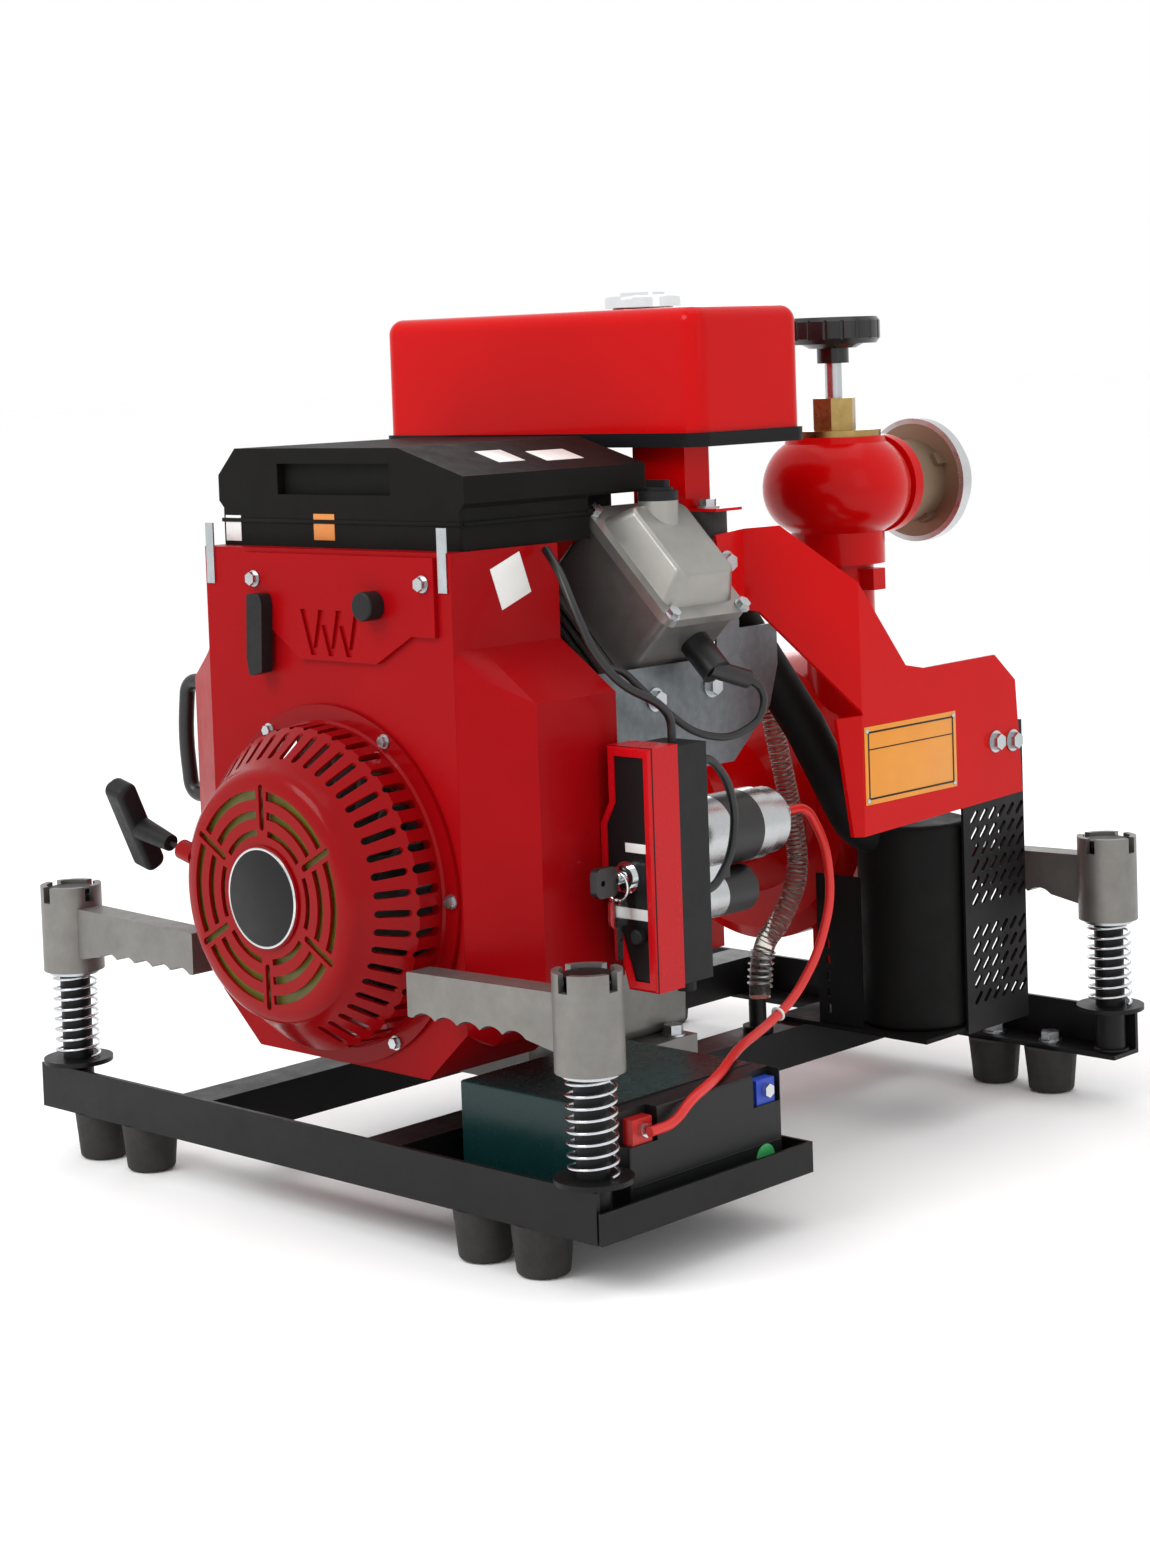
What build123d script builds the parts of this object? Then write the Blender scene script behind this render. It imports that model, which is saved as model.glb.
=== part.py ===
from build123d import *
import math
import os

# Portable fire pump: V-twin petrol engine, centrifugal pump, screw-down
# discharge valve, battery and tank on an angle-iron frame with four lift
# handles. Millimetres. X to the battery side, Y towards the pump, Z up.
# Origin: middle of the frame on the ground.

os.makedirs("parts", exist_ok=True)

# ---------------------------------------------------------------- sizes
# frame
POST_X = 320.0            # posts, side to side from the middle
POST_Y = 350.0            # posts, fore and aft from the middle
POST_R = 13.45            # 3/4 inch pipe
POST_WALL = 2.6
POST_TOP = 238.0
ANGLE = 40.0              # angle iron leg
ANGLE_T = 4.0
FOOT_H = 41.5
FOOT_TOP_R = 25.0
FOOT_LOW_R = 21.0
BAR_PAST_LEFT = 32.0      # crossbar beyond the left posts
BAR_PAST_RIGHT = 18.0
BAR_LEFT = -POST_X - BAR_PAST_LEFT
BAR_RIGHT = POST_X + BAR_PAST_RIGHT
FOOT_IN = 24.0            # outermost foot from the post's side
FOOT_XS = (POST_R + FOOT_IN - 13.45 - POST_X, -228.0, 193.0, 257.0)
LEFT_RAIL_X = -154.0      # outer side of the left main rail
RIGHT_RAIL_X = 122.0      # outer side of the right main rail
WELD_GAP = 0.1
# battery tray
TRAY_T = 3.0
TRAY_LIP = 25.0
TRAY_OUT = 343.0
TRAY_BACK = -118.0
# lift handles
FLANGE_R = 31.0
FLANGE_Z = FOOT_H + ANGLE + 2.5
FLANGE_T = 4.0
TUBE_R = 27.2
TUBE_LOW = 168.4
TUBE_TOP = 245.5
TUBE_FIT = 0.06           # running clearance on the post, on the radius
SOCKET_R = 21.5
SOCKET_FLOOR = 198.0
NOTCH_W = 9.0
NOTCH_DEEP = 14.0
GRIP_LEN = 186.0
GRIP_W = 25.0
SPRING_WIRE = 2.6
SPRING_R = 19.0
SPRING_COILS = 8
SEAT_T = 3.0
SEAT_GAP = 0.3
# engine
CRANK_Z = 273.0
CASE_FRONT = -190.0
CASE_BACK = 10.0
CASE_HALF = 95.0
CYL_Y = -93.0             # middle of the cylinders
HEAD_X = 178.5            # middle of the rocker cover seat
HEAD_Z = 525.0
HEAD_T = 60.0             # along the slope of the V
HEAD_Y = 48.0
FIN_HALF_T = 65.0
FIN_HALF_Y = 55.0
HEAD_DEEP = 66.0
FIN_DEEP = 56.0
# blower housing
HOOD_FRONT = -315.0
HOOD_SHOULDER = -284.0
HOOD_BACK = -191.9
HOOD_HALF = 212.0
NECK_HALF = 152.0
HOOD_TOP = 551.8
HOOD_WALL = 3.0
FAN_HOLE_R = 128.0
FAN_R = 116.0
# air filter and tank
FILTER_HALF = 152.0
FILTER_FRONT = -297.0
FILTER_BACK = -82.0
FILTER_LOW = 552.0
FILTER_TOP = 635.0
TANK_HALF = 193.0
TANK_FRONT = -60.0
TANK_BACK = 84.0
TANK_LOW = 636.0
TANK_TOP = 743.0
TANK_WALL = 1.6
TANK_ROUND = 16.0
CAP_X = 70.0
CAP_Y = 13.0
CAP_R = 34.0
# pump and valve
PUMP_Y = 253.0
VOLUTE_R = 138.0
VOLUTE_HALF = 43.0
VALVE_X = 92.0
VALVE_Z = 572.0
GLOBE_R = 70.0
STEM_R = 8.0
STEM_FIT = 0.06
WHEEL_R = 45.0
# muffler and sheet metal
MUFFLER_X = 206.0
MUFFLER_Y = 206.0
MUFFLER_R = 51.0
MUFFLER_LOW = 85.0
MUFFLER_TOP = 272.0
PIPE_R = 19.0
PANEL_X = 266.0           # outer face of the red side panel
SHEET = 2.5
# battery
BATTERY_X0 = 141.0
BATTERY_X1 = 325.0
BATTERY_Y0 = -315.0
BATTERY_Y1 = -134.0
BATTERY_H = 83.0
# control box
BOX_RIGHT = 270.0
BOX_LOW = 195.0
BOX_HIGH = 392.0
BOX_FRONT = -217.0
BOX_SPLIT = -184.0
BOX_BACK = -144.0             # seated on the starter flange

BAR_Y = POST_Y + POST_R + WELD_GAP       # inner face of a crossbar's upright leg
BAR_FACE = BAR_Y + ANGLE_T
RAIL_LOW = FOOT_H + ANGLE_T
RAIL_TOP = FOOT_H + ANGLE


def save(part, name):
    part.label = name
    export_step(part, "parts/" + name + ".step")


def box_between(x0, x1, y0, y1, z0, z1):
    """Plain block between two corners."""
    return Pos((x0 + x1) / 2, (y0 + y1) / 2, (z0 + z1) / 2) * Box(
        x1 - x0, y1 - y0, z1 - z0, mode=Mode.PRIVATE
    )


def hex_bolt(across, high, washer_r, washer_t):
    """Flanged hexagon head standing on its seat."""
    with BuildPart() as bolt:
        Cylinder(washer_r, washer_t, align=(Align.CENTER, Align.CENTER, Align.MIN))
        with BuildSketch(Plane.XY.offset(washer_t)):
            RegularPolygon(across / 2, 6, major_radius=False)
        extrude(amount=high)
    return bolt.part


def seat_at(x, y, z, nx, ny, nz):
    return Plane(origin=(x, y, z), z_dir=(nx, ny, nz))


# ---------------------------------------------------------------- frame
def crossbar(side):
    """Angle iron across the frame; side is -1 in front and +1 behind."""
    with BuildPart() as bar:
        with BuildSketch(Plane.YZ.offset(BAR_LEFT)):
            with BuildLine():
                Polyline(
                    (side * BAR_FACE, FOOT_H),
                    (side * BAR_FACE, FOOT_H + ANGLE),
                    (side * BAR_Y, FOOT_H + ANGLE),
                    (side * BAR_Y, FOOT_H + ANGLE_T),
                    (side * (BAR_FACE - ANGLE), FOOT_H + ANGLE_T),
                    (side * (BAR_FACE - ANGLE), FOOT_H),
                    close=True,
                )
            make_face()
        extrude(amount=BAR_RIGHT - BAR_LEFT)
    return bar.part


save(crossbar(-1), "front_crossbar")
save(crossbar(1), "rear_crossbar")


def main_rail(outer, inward):
    """Angle iron along the frame with its flat leg on top."""
    upright = outer if inward < 0 else outer + ANGLE - ANGLE_T
    flat = outer - ANGLE if inward < 0 else outer
    with BuildPart() as rail:
        add(box_between(flat, flat + ANGLE, -BAR_Y, BAR_Y, RAIL_TOP - ANGLE_T, RAIL_TOP))
        lug = upright - ANGLE_T if inward < 0 else upright
        add(box_between(lug, lug + ANGLE_T, -BAR_Y, BAR_Y, RAIL_LOW, RAIL_TOP - ANGLE_T))
    return rail.part


save(main_rail(LEFT_RAIL_X, 1), "left_rail")

HOSE_END = (104.0, 100.0, 112.0)         # foot of the priming hose

with BuildPart() as right_rail:
    add(main_rail(RIGHT_RAIL_X, -1))
    with BuildSketch(Plane(origin=(HOSE_END[0], HOSE_END[1], RAIL_TOP))):
        Circle(14)
    extrude(amount=6)
    with BuildSketch(Plane(origin=(HOSE_END[0], HOSE_END[1], RAIL_TOP))):
        Circle(8)
    extrude(amount=HOSE_END[2] - RAIL_TOP)
save(right_rail.part, "right_rail")

# Battery tray: folded sheet floor with a lip outside and behind.
with BuildPart() as battery_tray:
    floor_front = -BAR_FACE + ANGLE
    add(box_between(RIGHT_RAIL_X, TRAY_OUT, floor_front, TRAY_BACK, FOOT_H, FOOT_H + TRAY_T))
    add(box_between(TRAY_OUT - TRAY_T, TRAY_OUT, -BAR_FACE, TRAY_BACK, FOOT_H, FOOT_H + TRAY_LIP))
    add(box_between(RIGHT_RAIL_X, TRAY_OUT, TRAY_BACK - TRAY_T, TRAY_BACK, FOOT_H, FOOT_H + TRAY_LIP))
save(battery_tray.part, "battery_tray")

CORNERS = ((-POST_X, -POST_Y), (POST_X, -POST_Y), (-POST_X, POST_Y), (POST_X, POST_Y))

# Posts: welded pipe with a flange, a cap and a cross pin in its head.
with BuildPart() as post:
    with BuildSketch(Plane.XY.offset(RAIL_LOW)):
        Circle(POST_R)
        Circle(POST_R - POST_WALL, mode=Mode.SUBTRACT)
    extrude(amount=POST_TOP - RAIL_LOW)
    with BuildSketch(Plane.XY.offset(FLANGE_Z)):
        Circle(FLANGE_R)
        Circle(POST_R - POST_WALL, mode=Mode.SUBTRACT)
    extrude(amount=FLANGE_T)
    with BuildSketch(Plane.XY.offset(POST_TOP)):
        Circle(SOCKET_R - 1.5)
    extrude(amount=5)
    fillet(post.edges().sort_by(Axis.Z)[-1], 1.5)
    with BuildSketch(Plane.YZ.offset(-SOCKET_R + 0.6)):
        with Locations((0, POST_TOP - 6.0)):
            Circle(3.8)
    extrude(amount=2 * (SOCKET_R - 0.6))
with BuildPart() as posts:
    with Locations(*[Location((x, y, 0)) for x, y in CORNERS]):
        add(post.part)
save(posts.part, "posts")

# Rubber feet in pairs under each end of the crossbars, and the rubber
# blocks that carry the tank and the pump.
FOOT_Y = BAR_FACE - ANGLE / 2 - 4
TANK_MOUNTS = ((172.0, -25.0), (-172.0, -25.0))
TANK_MOUNT_LOW = 545.0
TANK_MOUNT_H = 23.0
PUMP_FEET = ((102.0, PUMP_Y), (-134.0, PUMP_Y))
PUMP_MOUNT_H = 30.0
with BuildPart() as foot:
    Cone(FOOT_LOW_R, FOOT_TOP_R, FOOT_H, align=(Align.CENTER, Align.CENTER, Align.MIN))
    fillet(foot.edges().group_by(Axis.Z)[0], 4)
with BuildPart() as rubber_mounts:
    with Locations(*[Location((x, s * FOOT_Y, 0)) for x in FOOT_XS for s in (-1, 1)]):
        add(foot.part)
    for x, y in TANK_MOUNTS:
        with BuildSketch(Plane(origin=(x, y, TANK_MOUNT_LOW))):
            Circle(16)
        extrude(amount=TANK_MOUNT_H)
    for x, y in PUMP_FEET:
        with BuildSketch(Plane(origin=(x, y, RAIL_TOP))):
            Circle(17)
        extrude(amount=PUMP_MOUNT_H)
save(rubber_mounts.part, "rubber_mounts")

# ---------------------------------------------------------------- lift handles
# Cast tube that turns on the post, with a finger grip; pressed down against
# the spring it clears the cross pin.
with BuildPart() as handle:
    with BuildSketch(Plane.XZ):
        with BuildLine():
            grip_top = 223.0
            grip_low = 187.0
            step = 25.0
            start = 38.0
            Line((TUBE_R - 5, grip_top + 4), (GRIP_LEN, grip_top))
            Line((GRIP_LEN, grip_top), (GRIP_LEN, grip_low))
            for i in range(5):
                right = GRIP_LEN - 6 - i * step
                if i == 0:
                    Line((GRIP_LEN, grip_low), (right, grip_low))
                ThreePointArc((right, grip_low), (right - step / 2, grip_low + 5), (right - step, grip_low))
            Line((GRIP_LEN - 6 - 5 * step, grip_low), (TUBE_R - 5, grip_low - 6))
            Line((TUBE_R - 5, grip_low - 6), (TUBE_R - 5, grip_top + 4))
        make_face()
    extrude(amount=GRIP_W / 2, both=True)
    fillet(handle.edges().filter_by(Axis.Y), 1.5)
    with BuildSketch(Plane.XY.offset(TUBE_LOW)):
        Circle(TUBE_R)
    extrude(amount=TUBE_TOP - TUBE_LOW)
    with BuildSketch(Plane.XY.offset(TUBE_LOW)):
        Circle(POST_R + TUBE_FIT)
    extrude(amount=TUBE_TOP - TUBE_LOW, mode=Mode.SUBTRACT)
    with BuildSketch(Plane.XY.offset(SOCKET_FLOOR)):
        Circle(SOCKET_R)
    extrude(amount=TUBE_TOP - SOCKET_FLOOR, mode=Mode.SUBTRACT)
    with BuildSketch(Plane.XY.offset(TUBE_TOP - NOTCH_DEEP)):
        Rectangle(3 * TUBE_R, NOTCH_W)
        Rectangle(NOTCH_W, 3 * TUBE_R)
    extrude(amount=NOTCH_DEEP, mode=Mode.SUBTRACT)

HANDLES = (
    ("front_left", -POST_X, -POST_Y, 0),
    ("front_right", POST_X, -POST_Y, 180),
    ("rear_left", -POST_X, POST_Y, 0),
    ("rear_right", POST_X, POST_Y, 180),
)
with BuildPart() as spring_seat:
    with BuildSketch(Plane.XY.offset(TUBE_LOW - SEAT_T - SEAT_GAP)):
        Circle(SPRING_R + 3)
        Circle(POST_R + 0.4, mode=Mode.SUBTRACT)
    extrude(amount=SEAT_T)

SPRING_LOW = FLANGE_Z + FLANGE_T + SPRING_WIRE / 2 + SEAT_GAP
SPRING_HIGH = TUBE_LOW - SEAT_T - 2 * SEAT_GAP - SPRING_WIRE / 2
with BuildPart() as spring:
    with BuildLine():
        coil = Helix((SPRING_HIGH - SPRING_LOW) / SPRING_COILS, SPRING_HIGH - SPRING_LOW, SPRING_R)
    with BuildSketch(Plane(origin=coil @ 0, z_dir=coil % 0)):
        Circle(SPRING_WIRE / 2)
    sweep(path=coil, is_frenet=True)

for name, x, y, turn in HANDLES:
    with BuildPart() as placed_handle:
        with Locations(Location((x, y, 0), (0, 0, turn))):
            add(handle.part)
    save(placed_handle.part, "handle_" + name)
    with BuildPart() as placed_seat:
        with Locations(Location((x, y, 0))):
            add(spring_seat.part)
    save(placed_seat.part, "spring_seat_" + name)
    with BuildPart() as placed_spring:
        with Locations(Location((x, y, SPRING_LOW))):
            add(spring.part)
    save(placed_spring.part, "spring_" + name)

# ---------------------------------------------------------------- engine
SLOPE = 0.5 ** 0.5                        # each cylinder leans 45 degrees
DECK_X = HEAD_X - SLOPE * (HEAD_DEEP + FIN_DEEP)
DECK_Z = HEAD_Z - SLOPE * (HEAD_DEEP + FIN_DEEP)
DECK_HALF = SLOPE * 58.0
STARTER_X = 205.0
STARTER_Z = 300.0
STARTER_R = 31.0
STARTER_FRONT = -130.0
STARTER_BACK = -20.0
SHAFT_R = 17.5
SHAFT_FIT = 0.06

with BuildPart() as crankcase:
    with BuildSketch(Plane.XZ.offset(-CASE_BACK)):
        with BuildLine():
            right = [
                (CASE_HALF, 100.0),
                (CASE_HALF + 10, 300.0),
                (DECK_X + DECK_HALF, DECK_Z - DECK_HALF),
                (DECK_X - DECK_HALF, DECK_Z + DECK_HALF),
            ]
            left = [(-x, z) for x, z in reversed(right)]
            Polyline(*right, *left, close=True)
        make_face()
    extrude(amount=CASE_BACK - CASE_FRONT)
    fillet(crankcase.edges().filter_by(Axis.Y).group_by(Axis.Z)[0], 12)
    # mounting base on the rails
    add(box_between(LEFT_RAIL_X + 4, RIGHT_RAIL_X - 4, -168, 0, RAIL_TOP, 101))
    # shaft bore
    with BuildSketch(Plane.XZ.offset(-CASE_BACK)):
        with Locations((0, CRANK_Z)):
            Circle(SHAFT_R + SHAFT_FIT)
    extrude(amount=CASE_BACK - CASE_FRONT, mode=Mode.SUBTRACT)
    # starter flange
    with BuildSketch(Plane.XZ.offset(-STARTER_FRONT)):
        with BuildLine():
            Polyline((CASE_HALF, 262), (STARTER_X, 262), (STARTER_X + 34, 290), (STARTER_X + 34, 320),
                     (STARTER_X, 340), (CASE_HALF, 350), close=True)
        make_face()
    extrude(amount=14)
save(crankcase.part, "crankcase")

HEAD_PLANE = Plane(origin=(HEAD_X, CYL_Y, HEAD_Z), x_dir=(SLOPE, 0, -SLOPE), z_dir=(SLOPE, 0, SLOPE))
BAFFLE_X = 186.0
BAFFLE_BOLTS = ((-119.0, 416.0), (-47.0, 420.0))
FLANGE_HIGH = 9.0

with BuildPart() as right_cylinder:
    with BuildSketch(HEAD_PLANE):
        RectangleRounded(2 * HEAD_T, 2 * HEAD_Y, 8)
    extrude(amount=-HEAD_DEEP)
    with BuildSketch(HEAD_PLANE.offset(-HEAD_DEEP)):
        Rectangle(2 * HEAD_T - 24, 2 * HEAD_Y - 12)
    extrude(amount=-FIN_DEEP)
    fin_pitch = 8.0
    for i in range(7):
        with BuildSketch(HEAD_PLANE.offset(-HEAD_DEEP - 1.5 - i * fin_pitch)):
            RectangleRounded(2 * FIN_HALF_T - 14, 2 * FIN_HALF_Y, 6)
        extrude(amount=-3)
    # bosses that carry the side sheet
    for y, z in BAFFLE_BOLTS:
        with BuildSketch(Plane(origin=(BAFFLE_X, y, z), z_dir=(-1, 0, 0))):
            Circle(8)
        extrude(amount=30)
with BuildPart() as cylinders:
    add(right_cylinder.part)
    mirror(about=Plane.YZ)
save(cylinders.part, "cylinders")

OIL_X = 176.0
OIL_NECK_TOP = 581.0
DOME_HIGH = 26.0
with BuildPart() as right_cover:
    with BuildSketch(HEAD_PLANE):
        RectangleRounded(2 * HEAD_T + 10, 2 * HEAD_Y + 6, 12)
    extrude(amount=FLANGE_HIGH)
    with BuildSketch(HEAD_PLANE.offset(FLANGE_HIGH)) as low_dome:
        RectangleRounded(2 * HEAD_T - 16, 2 * HEAD_Y - 12, 10)
    with BuildSketch(HEAD_PLANE.offset(FLANGE_HIGH + DOME_HIGH)) as high_dome:
        RectangleRounded(2 * HEAD_T - 40, 2 * HEAD_Y - 30, 10)
    loft(sections=[low_dome.sketch, high_dome.sketch])
    fillet(right_cover.faces().sort_by(Axis((HEAD_X, CYL_Y, HEAD_Z), (SLOPE, 0, SLOPE)))[-1].edges(), 4)
with BuildPart() as oil_neck:
    with BuildSketch(Plane(origin=(OIL_X, CYL_Y, HEAD_Z))):
        Circle(17)
    extrude(amount=OIL_NECK_TOP - HEAD_Z)
    split(bisect_by=HEAD_PLANE.offset(FLANGE_HIGH), keep=Keep.TOP)
with BuildPart() as rocker_covers:
    add(right_cover.part)
    add(oil_neck.part)
    with Locations(Location((0, 0, 0))):
        add(right_cover.part.mirror(Plane.YZ))
save(rocker_covers.part, "rocker_covers")

with BuildPart() as oil_cap:
    with BuildSketch(Plane(origin=(OIL_X, CYL_Y, OIL_NECK_TOP))):
        Circle(17)
    extrude(amount=8)
    with BuildSketch(Plane(origin=(OIL_X, CYL_Y, OIL_NECK_TOP + 8))):
        Circle(13)
    extrude(amount=3)
    with BuildSketch(Plane(origin=(OIL_X, CYL_Y, OIL_NECK_TOP + 11))):
        RectangleRounded(24, 6, 2)
    extrude(amount=6)
save(oil_cap.part, "oil_cap")

# Zinc plated side sheets with the arm that carries the tank mount.
with BuildPart() as right_baffle:
    with BuildSketch(Plane.YZ.offset(BAFFLE_X)):
        with BuildLine():
            Polyline((-189, 352), (-20, 352), (30, 395), (42, 430), (42, 466), (-8, 466), (-8, TANK_MOUNT_LOW),
                     (-38, TANK_MOUNT_LOW), (-38, 444), (-189, 444), close=True)
        make_face()
    extrude(amount=SHEET)
    add(box_between(148, BAFFLE_X, -42, -6, TANK_MOUNT_LOW - SHEET, TANK_MOUNT_LOW))
with BuildPart() as side_baffles:
    add(right_baffle.part)
    mirror(about=Plane.YZ)
save(side_baffles.part, "side_baffles")

# Carburettor and intake under the air filter.
with BuildPart() as carburettor:
    add(box_between(-34, 34, -170, -104, 481, 516))
    with BuildSketch(Plane.XY.offset(516)):
        with Locations((0, -137)):
            Circle(25)
    extrude(amount=FILTER_LOW - 516)
    with BuildSketch(Plane(origin=(20, -104, 498), z_dir=(0, 1, 0))):
        Circle(5)
    extrude(amount=14)
save(carburettor.part, "carburettor")


# ---------------------------------------------------------------- blower housing
def hood_solid(inset, back):
    """Outer form of the housing, drawn in by inset."""
    neck = NECK_HALF - inset
    wide = HOOD_HALF - inset
    with BuildPart() as hood:
        with BuildSketch(Plane.XZ.offset(-HOOD_FRONT - inset)):
            with BuildLine():
                Polyline((-105 + inset, 122 + inset), (105 - inset, 122 + inset), (neck, 165 + inset),
                         (neck, HOOD_TOP - inset), (-neck, HOOD_TOP - inset), (-neck, 165 + inset), close=True)
            make_face()
        extrude(amount=HOOD_FRONT + inset - back)
        flare = []
        for plane_y, half, low, mid_low, mid_high, high in (
            (HOOD_FRONT + inset, neck - 0.5, 165, 175, 462, 474),
            (HOOD_SHOULDER + inset, wide, 150, 200, 432, 474),
        ):
            with BuildSketch(Plane.XZ.offset(-plane_y)) as ring:
                with BuildLine():
                    inner = neck - 1
                    Polyline((-inner, low + inset), (inner, low + inset), (half, mid_low + inset),
                             (half, mid_high - inset), (inner, high - inset), (-inner, high - inset),
                             (-half, mid_high - inset), (-half, mid_low + inset), close=True)
                make_face()
            flare.append(ring.sketch)
        loft(sections=flare, ruled=True)
        with BuildSketch(Plane.XZ.offset(-HOOD_SHOULDER - inset)):
            with BuildLine():
                Polyline((-inner, 150 + inset), (inner, 150 + inset), (wide, 200 + inset), (wide, 432 - inset),
                         (inner, 474 - inset), (-inner, 474 - inset), (-wide, 432 - inset), (-wide, 200 + inset),
                         close=True)
            make_face()
        extrude(amount=HOOD_SHOULDER + inset - back)
    return hood.part


LEFT_HOSE_TOP = (-HOOD_HALF - 12, -262.0, 424.0)
LEFT_HOSE_LOW = (-HOOD_HALF - 12, -262.0, 322.0)
with BuildPart() as fan_shroud:
    add(hood_solid(0, HOOD_BACK))
    add(hood_solid(HOOD_WALL, HOOD_BACK + 5), mode=Mode.SUBTRACT)
    with BuildSketch(Plane.XZ.offset(-HOOD_FRONT + 1)):
        with Locations((0, CRANK_Z)):
            Circle(FAN_HOLE_R)
    extrude(amount=-8, mode=Mode.SUBTRACT)
    # raised panel with three V slots above the fan
    with BuildSketch(Plane.XZ.offset(-HOOD_FRONT)):
        with BuildLine():
            Polyline((-96, 548), (136, 548), (136, 484), (108, 484), (66, 460), (-28, 460), (-64, 484),
                     (-96, 500), close=True)
        make_face()
    extrude(amount=4)
    with BuildSketch(Plane.XZ.offset(-HOOD_FRONT + 4.5)):
        for x in (-14, 8, 30):
            with BuildLine():
                Polyline((x - 12, 502), (x - 5, 502), (x + 3, 470), (x + 11, 502), (x + 18, 502), (x + 6, 464),
                         (x, 464), close=True)
            make_face()
    extrude(amount=-3, mode=Mode.SUBTRACT)
    # hose stubs on the left side
    for x, y, z in (LEFT_HOSE_TOP, LEFT_HOSE_LOW):
        with BuildSketch(Plane(origin=(-HOOD_HALF, y, z), z_dir=(-1, 0, 0))):
            Circle(9)
        extrude(amount=-x - HOOD_HALF)
    # lever slot bearing and knob hole
    with BuildSketch(Plane.XZ.offset(-HOOD_FRONT + 5)):
        with Locations((66, 508)):
            Circle(4.1)
    extrude(amount=-12, mode=Mode.SUBTRACT)
    with BuildSketch(Plane.XZ.offset(-HOOD_FRONT + 5)):
        with Locations((-72, 508)):
            Circle(5.1)
    extrude(amount=-12, mode=Mode.SUBTRACT)
save(fan_shroud.part, "fan_shroud")

PULL_TILT = 13.5          # the rope leaves upwards to the left
ROPE_Y = -384.2
ROPE_R = 2.2
ROPE_SPOT = (-100.0, ROPE_Y, 298.0)
PULL_SPOT = Location(ROPE_SPOT, (0, PULL_TILT, 0))
tilt = math.radians(PULL_TILT)
ROPE_PLANE = Plane(origin=ROPE_SPOT, z_dir=(math.cos(tilt), 0, -math.sin(tilt)))

# Recoil starter housing: stepped cover with slots all round.
COVER_R = 150.0
DRUM_R = 134.0
FACE_R = 103.0
FACE_Y = -392.0
COVER_T = 3.0
CRANK_LINE = Axis((0, 0, CRANK_Z), (0, 1, 0))
POST_BORE_R = 8.0
SECTORS = 6
HALF_ARC = 180 / SECTORS
FACE_RINGS = ((53.0, 5.0), (68.0, 6.5), (84.0, 7.5))
with BuildPart() as recoil_cover:
    with BuildSketch(Plane.YZ):
        with BuildLine():
            Polyline(
                (HOOD_FRONT, CRANK_Z + FAN_HOLE_R - 2), (HOOD_FRONT, CRANK_Z + COVER_R),
                (HOOD_FRONT - 4, CRANK_Z + COVER_R), (HOOD_FRONT - 4, CRANK_Z + DRUM_R + 3),
                (HOOD_FRONT - 6, CRANK_Z + DRUM_R + 1),
                (HOOD_FRONT - 30, CRANK_Z + DRUM_R), (FACE_Y + 14, CRANK_Z + FACE_R + 5),
                (FACE_Y + 4, CRANK_Z + FACE_R), (FACE_Y, CRANK_Z + FACE_R - 6), (FACE_Y, CRANK_Z),
                (FACE_Y + COVER_T, CRANK_Z), (FACE_Y + COVER_T, CRANK_Z + FACE_R - 7),
                (FACE_Y + 15, CRANK_Z + FACE_R), (HOOD_FRONT - 31, CRANK_Z + DRUM_R - COVER_T),
                (HOOD_FRONT - 8, CRANK_Z + FAN_HOLE_R - 2), close=True,
            )
        make_face()
    revolve(axis=CRANK_LINE)
    # label boss, inner bearing post and rope outlet
    with BuildSketch(Plane.XZ.offset(-FACE_Y)):
        with Locations((0, CRANK_Z)):
            Circle(43)
    extrude(amount=2)
    with BuildSketch(Plane.XZ.offset(-FACE_Y - COVER_T)):
        with Locations((0, CRANK_Z)):
            Circle(POST_BORE_R)
    extrude(amount=-34)
    with BuildSketch(ROPE_PLANE.offset(-14)):
        Circle(8.5)
    extrude(amount=18)
    with BuildSketch(ROPE_PLANE.offset(-16)):
        Circle(ROPE_R + 0.3)
    extrude(amount=34, mode=Mode.SUBTRACT)
    # three rings of arched slots in the face, parted by radial slots
    with BuildSketch(Plane.XZ.offset(-FACE_Y + 5)):
        with Locations((0, CRANK_Z)):
            with PolarLocations(74, SECTORS, start_angle=90):
                SlotOverall(38, 5.5)
            for ring_r, wide in FACE_RINGS:
                reach = math.radians(HALF_ARC) - 9 / ring_r
                end_x = ring_r * math.cos(reach)
                end_y = ring_r * math.sin(reach)
                with PolarLocations(0, SECTORS, start_angle=90 + 180 / SECTORS):
                    SlotArc(ThreePointArc((end_x, -end_y), (ring_r, 0), (end_x, end_y)), wide)
    extrude(amount=-12, mode=Mode.SUBTRACT)
    # slots round the drum, one row on its rim and one on its cone
    for i in range(41):
        angle = -70 + 7.5 * i
        if 150 <= angle <= 190:
            continue
        out = Vector(1, 0, 0).rotate(Axis.Y, -angle)
        for slot_y, from_r in ((HOOD_FRONT - 20, DRUM_R - 20), ((FACE_Y + HOOD_FRONT - 16) / 2, FACE_R - 8)):
            start = Vector(0, slot_y, CRANK_Z) + out * from_r
            with BuildSketch(Plane(origin=start, x_dir=(0, 1, 0), z_dir=out)):
                SlotOverall(24, 7.5 if from_r > FACE_R else 6)
            extrude(amount=50, mode=Mode.SUBTRACT)
save(recoil_cover.part, "recoil_cover")

# ---------------------------------------------------------------- rotor
with BuildPart() as crankshaft:
    with BuildSketch(Plane.XZ.offset(300.0)):
        with Locations((0, CRANK_Z)):
            Circle(SHAFT_R)
    extrude(amount=-300.0 - (PUMP_Y + 24))
save(crankshaft.part, "crankshaft")

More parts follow.
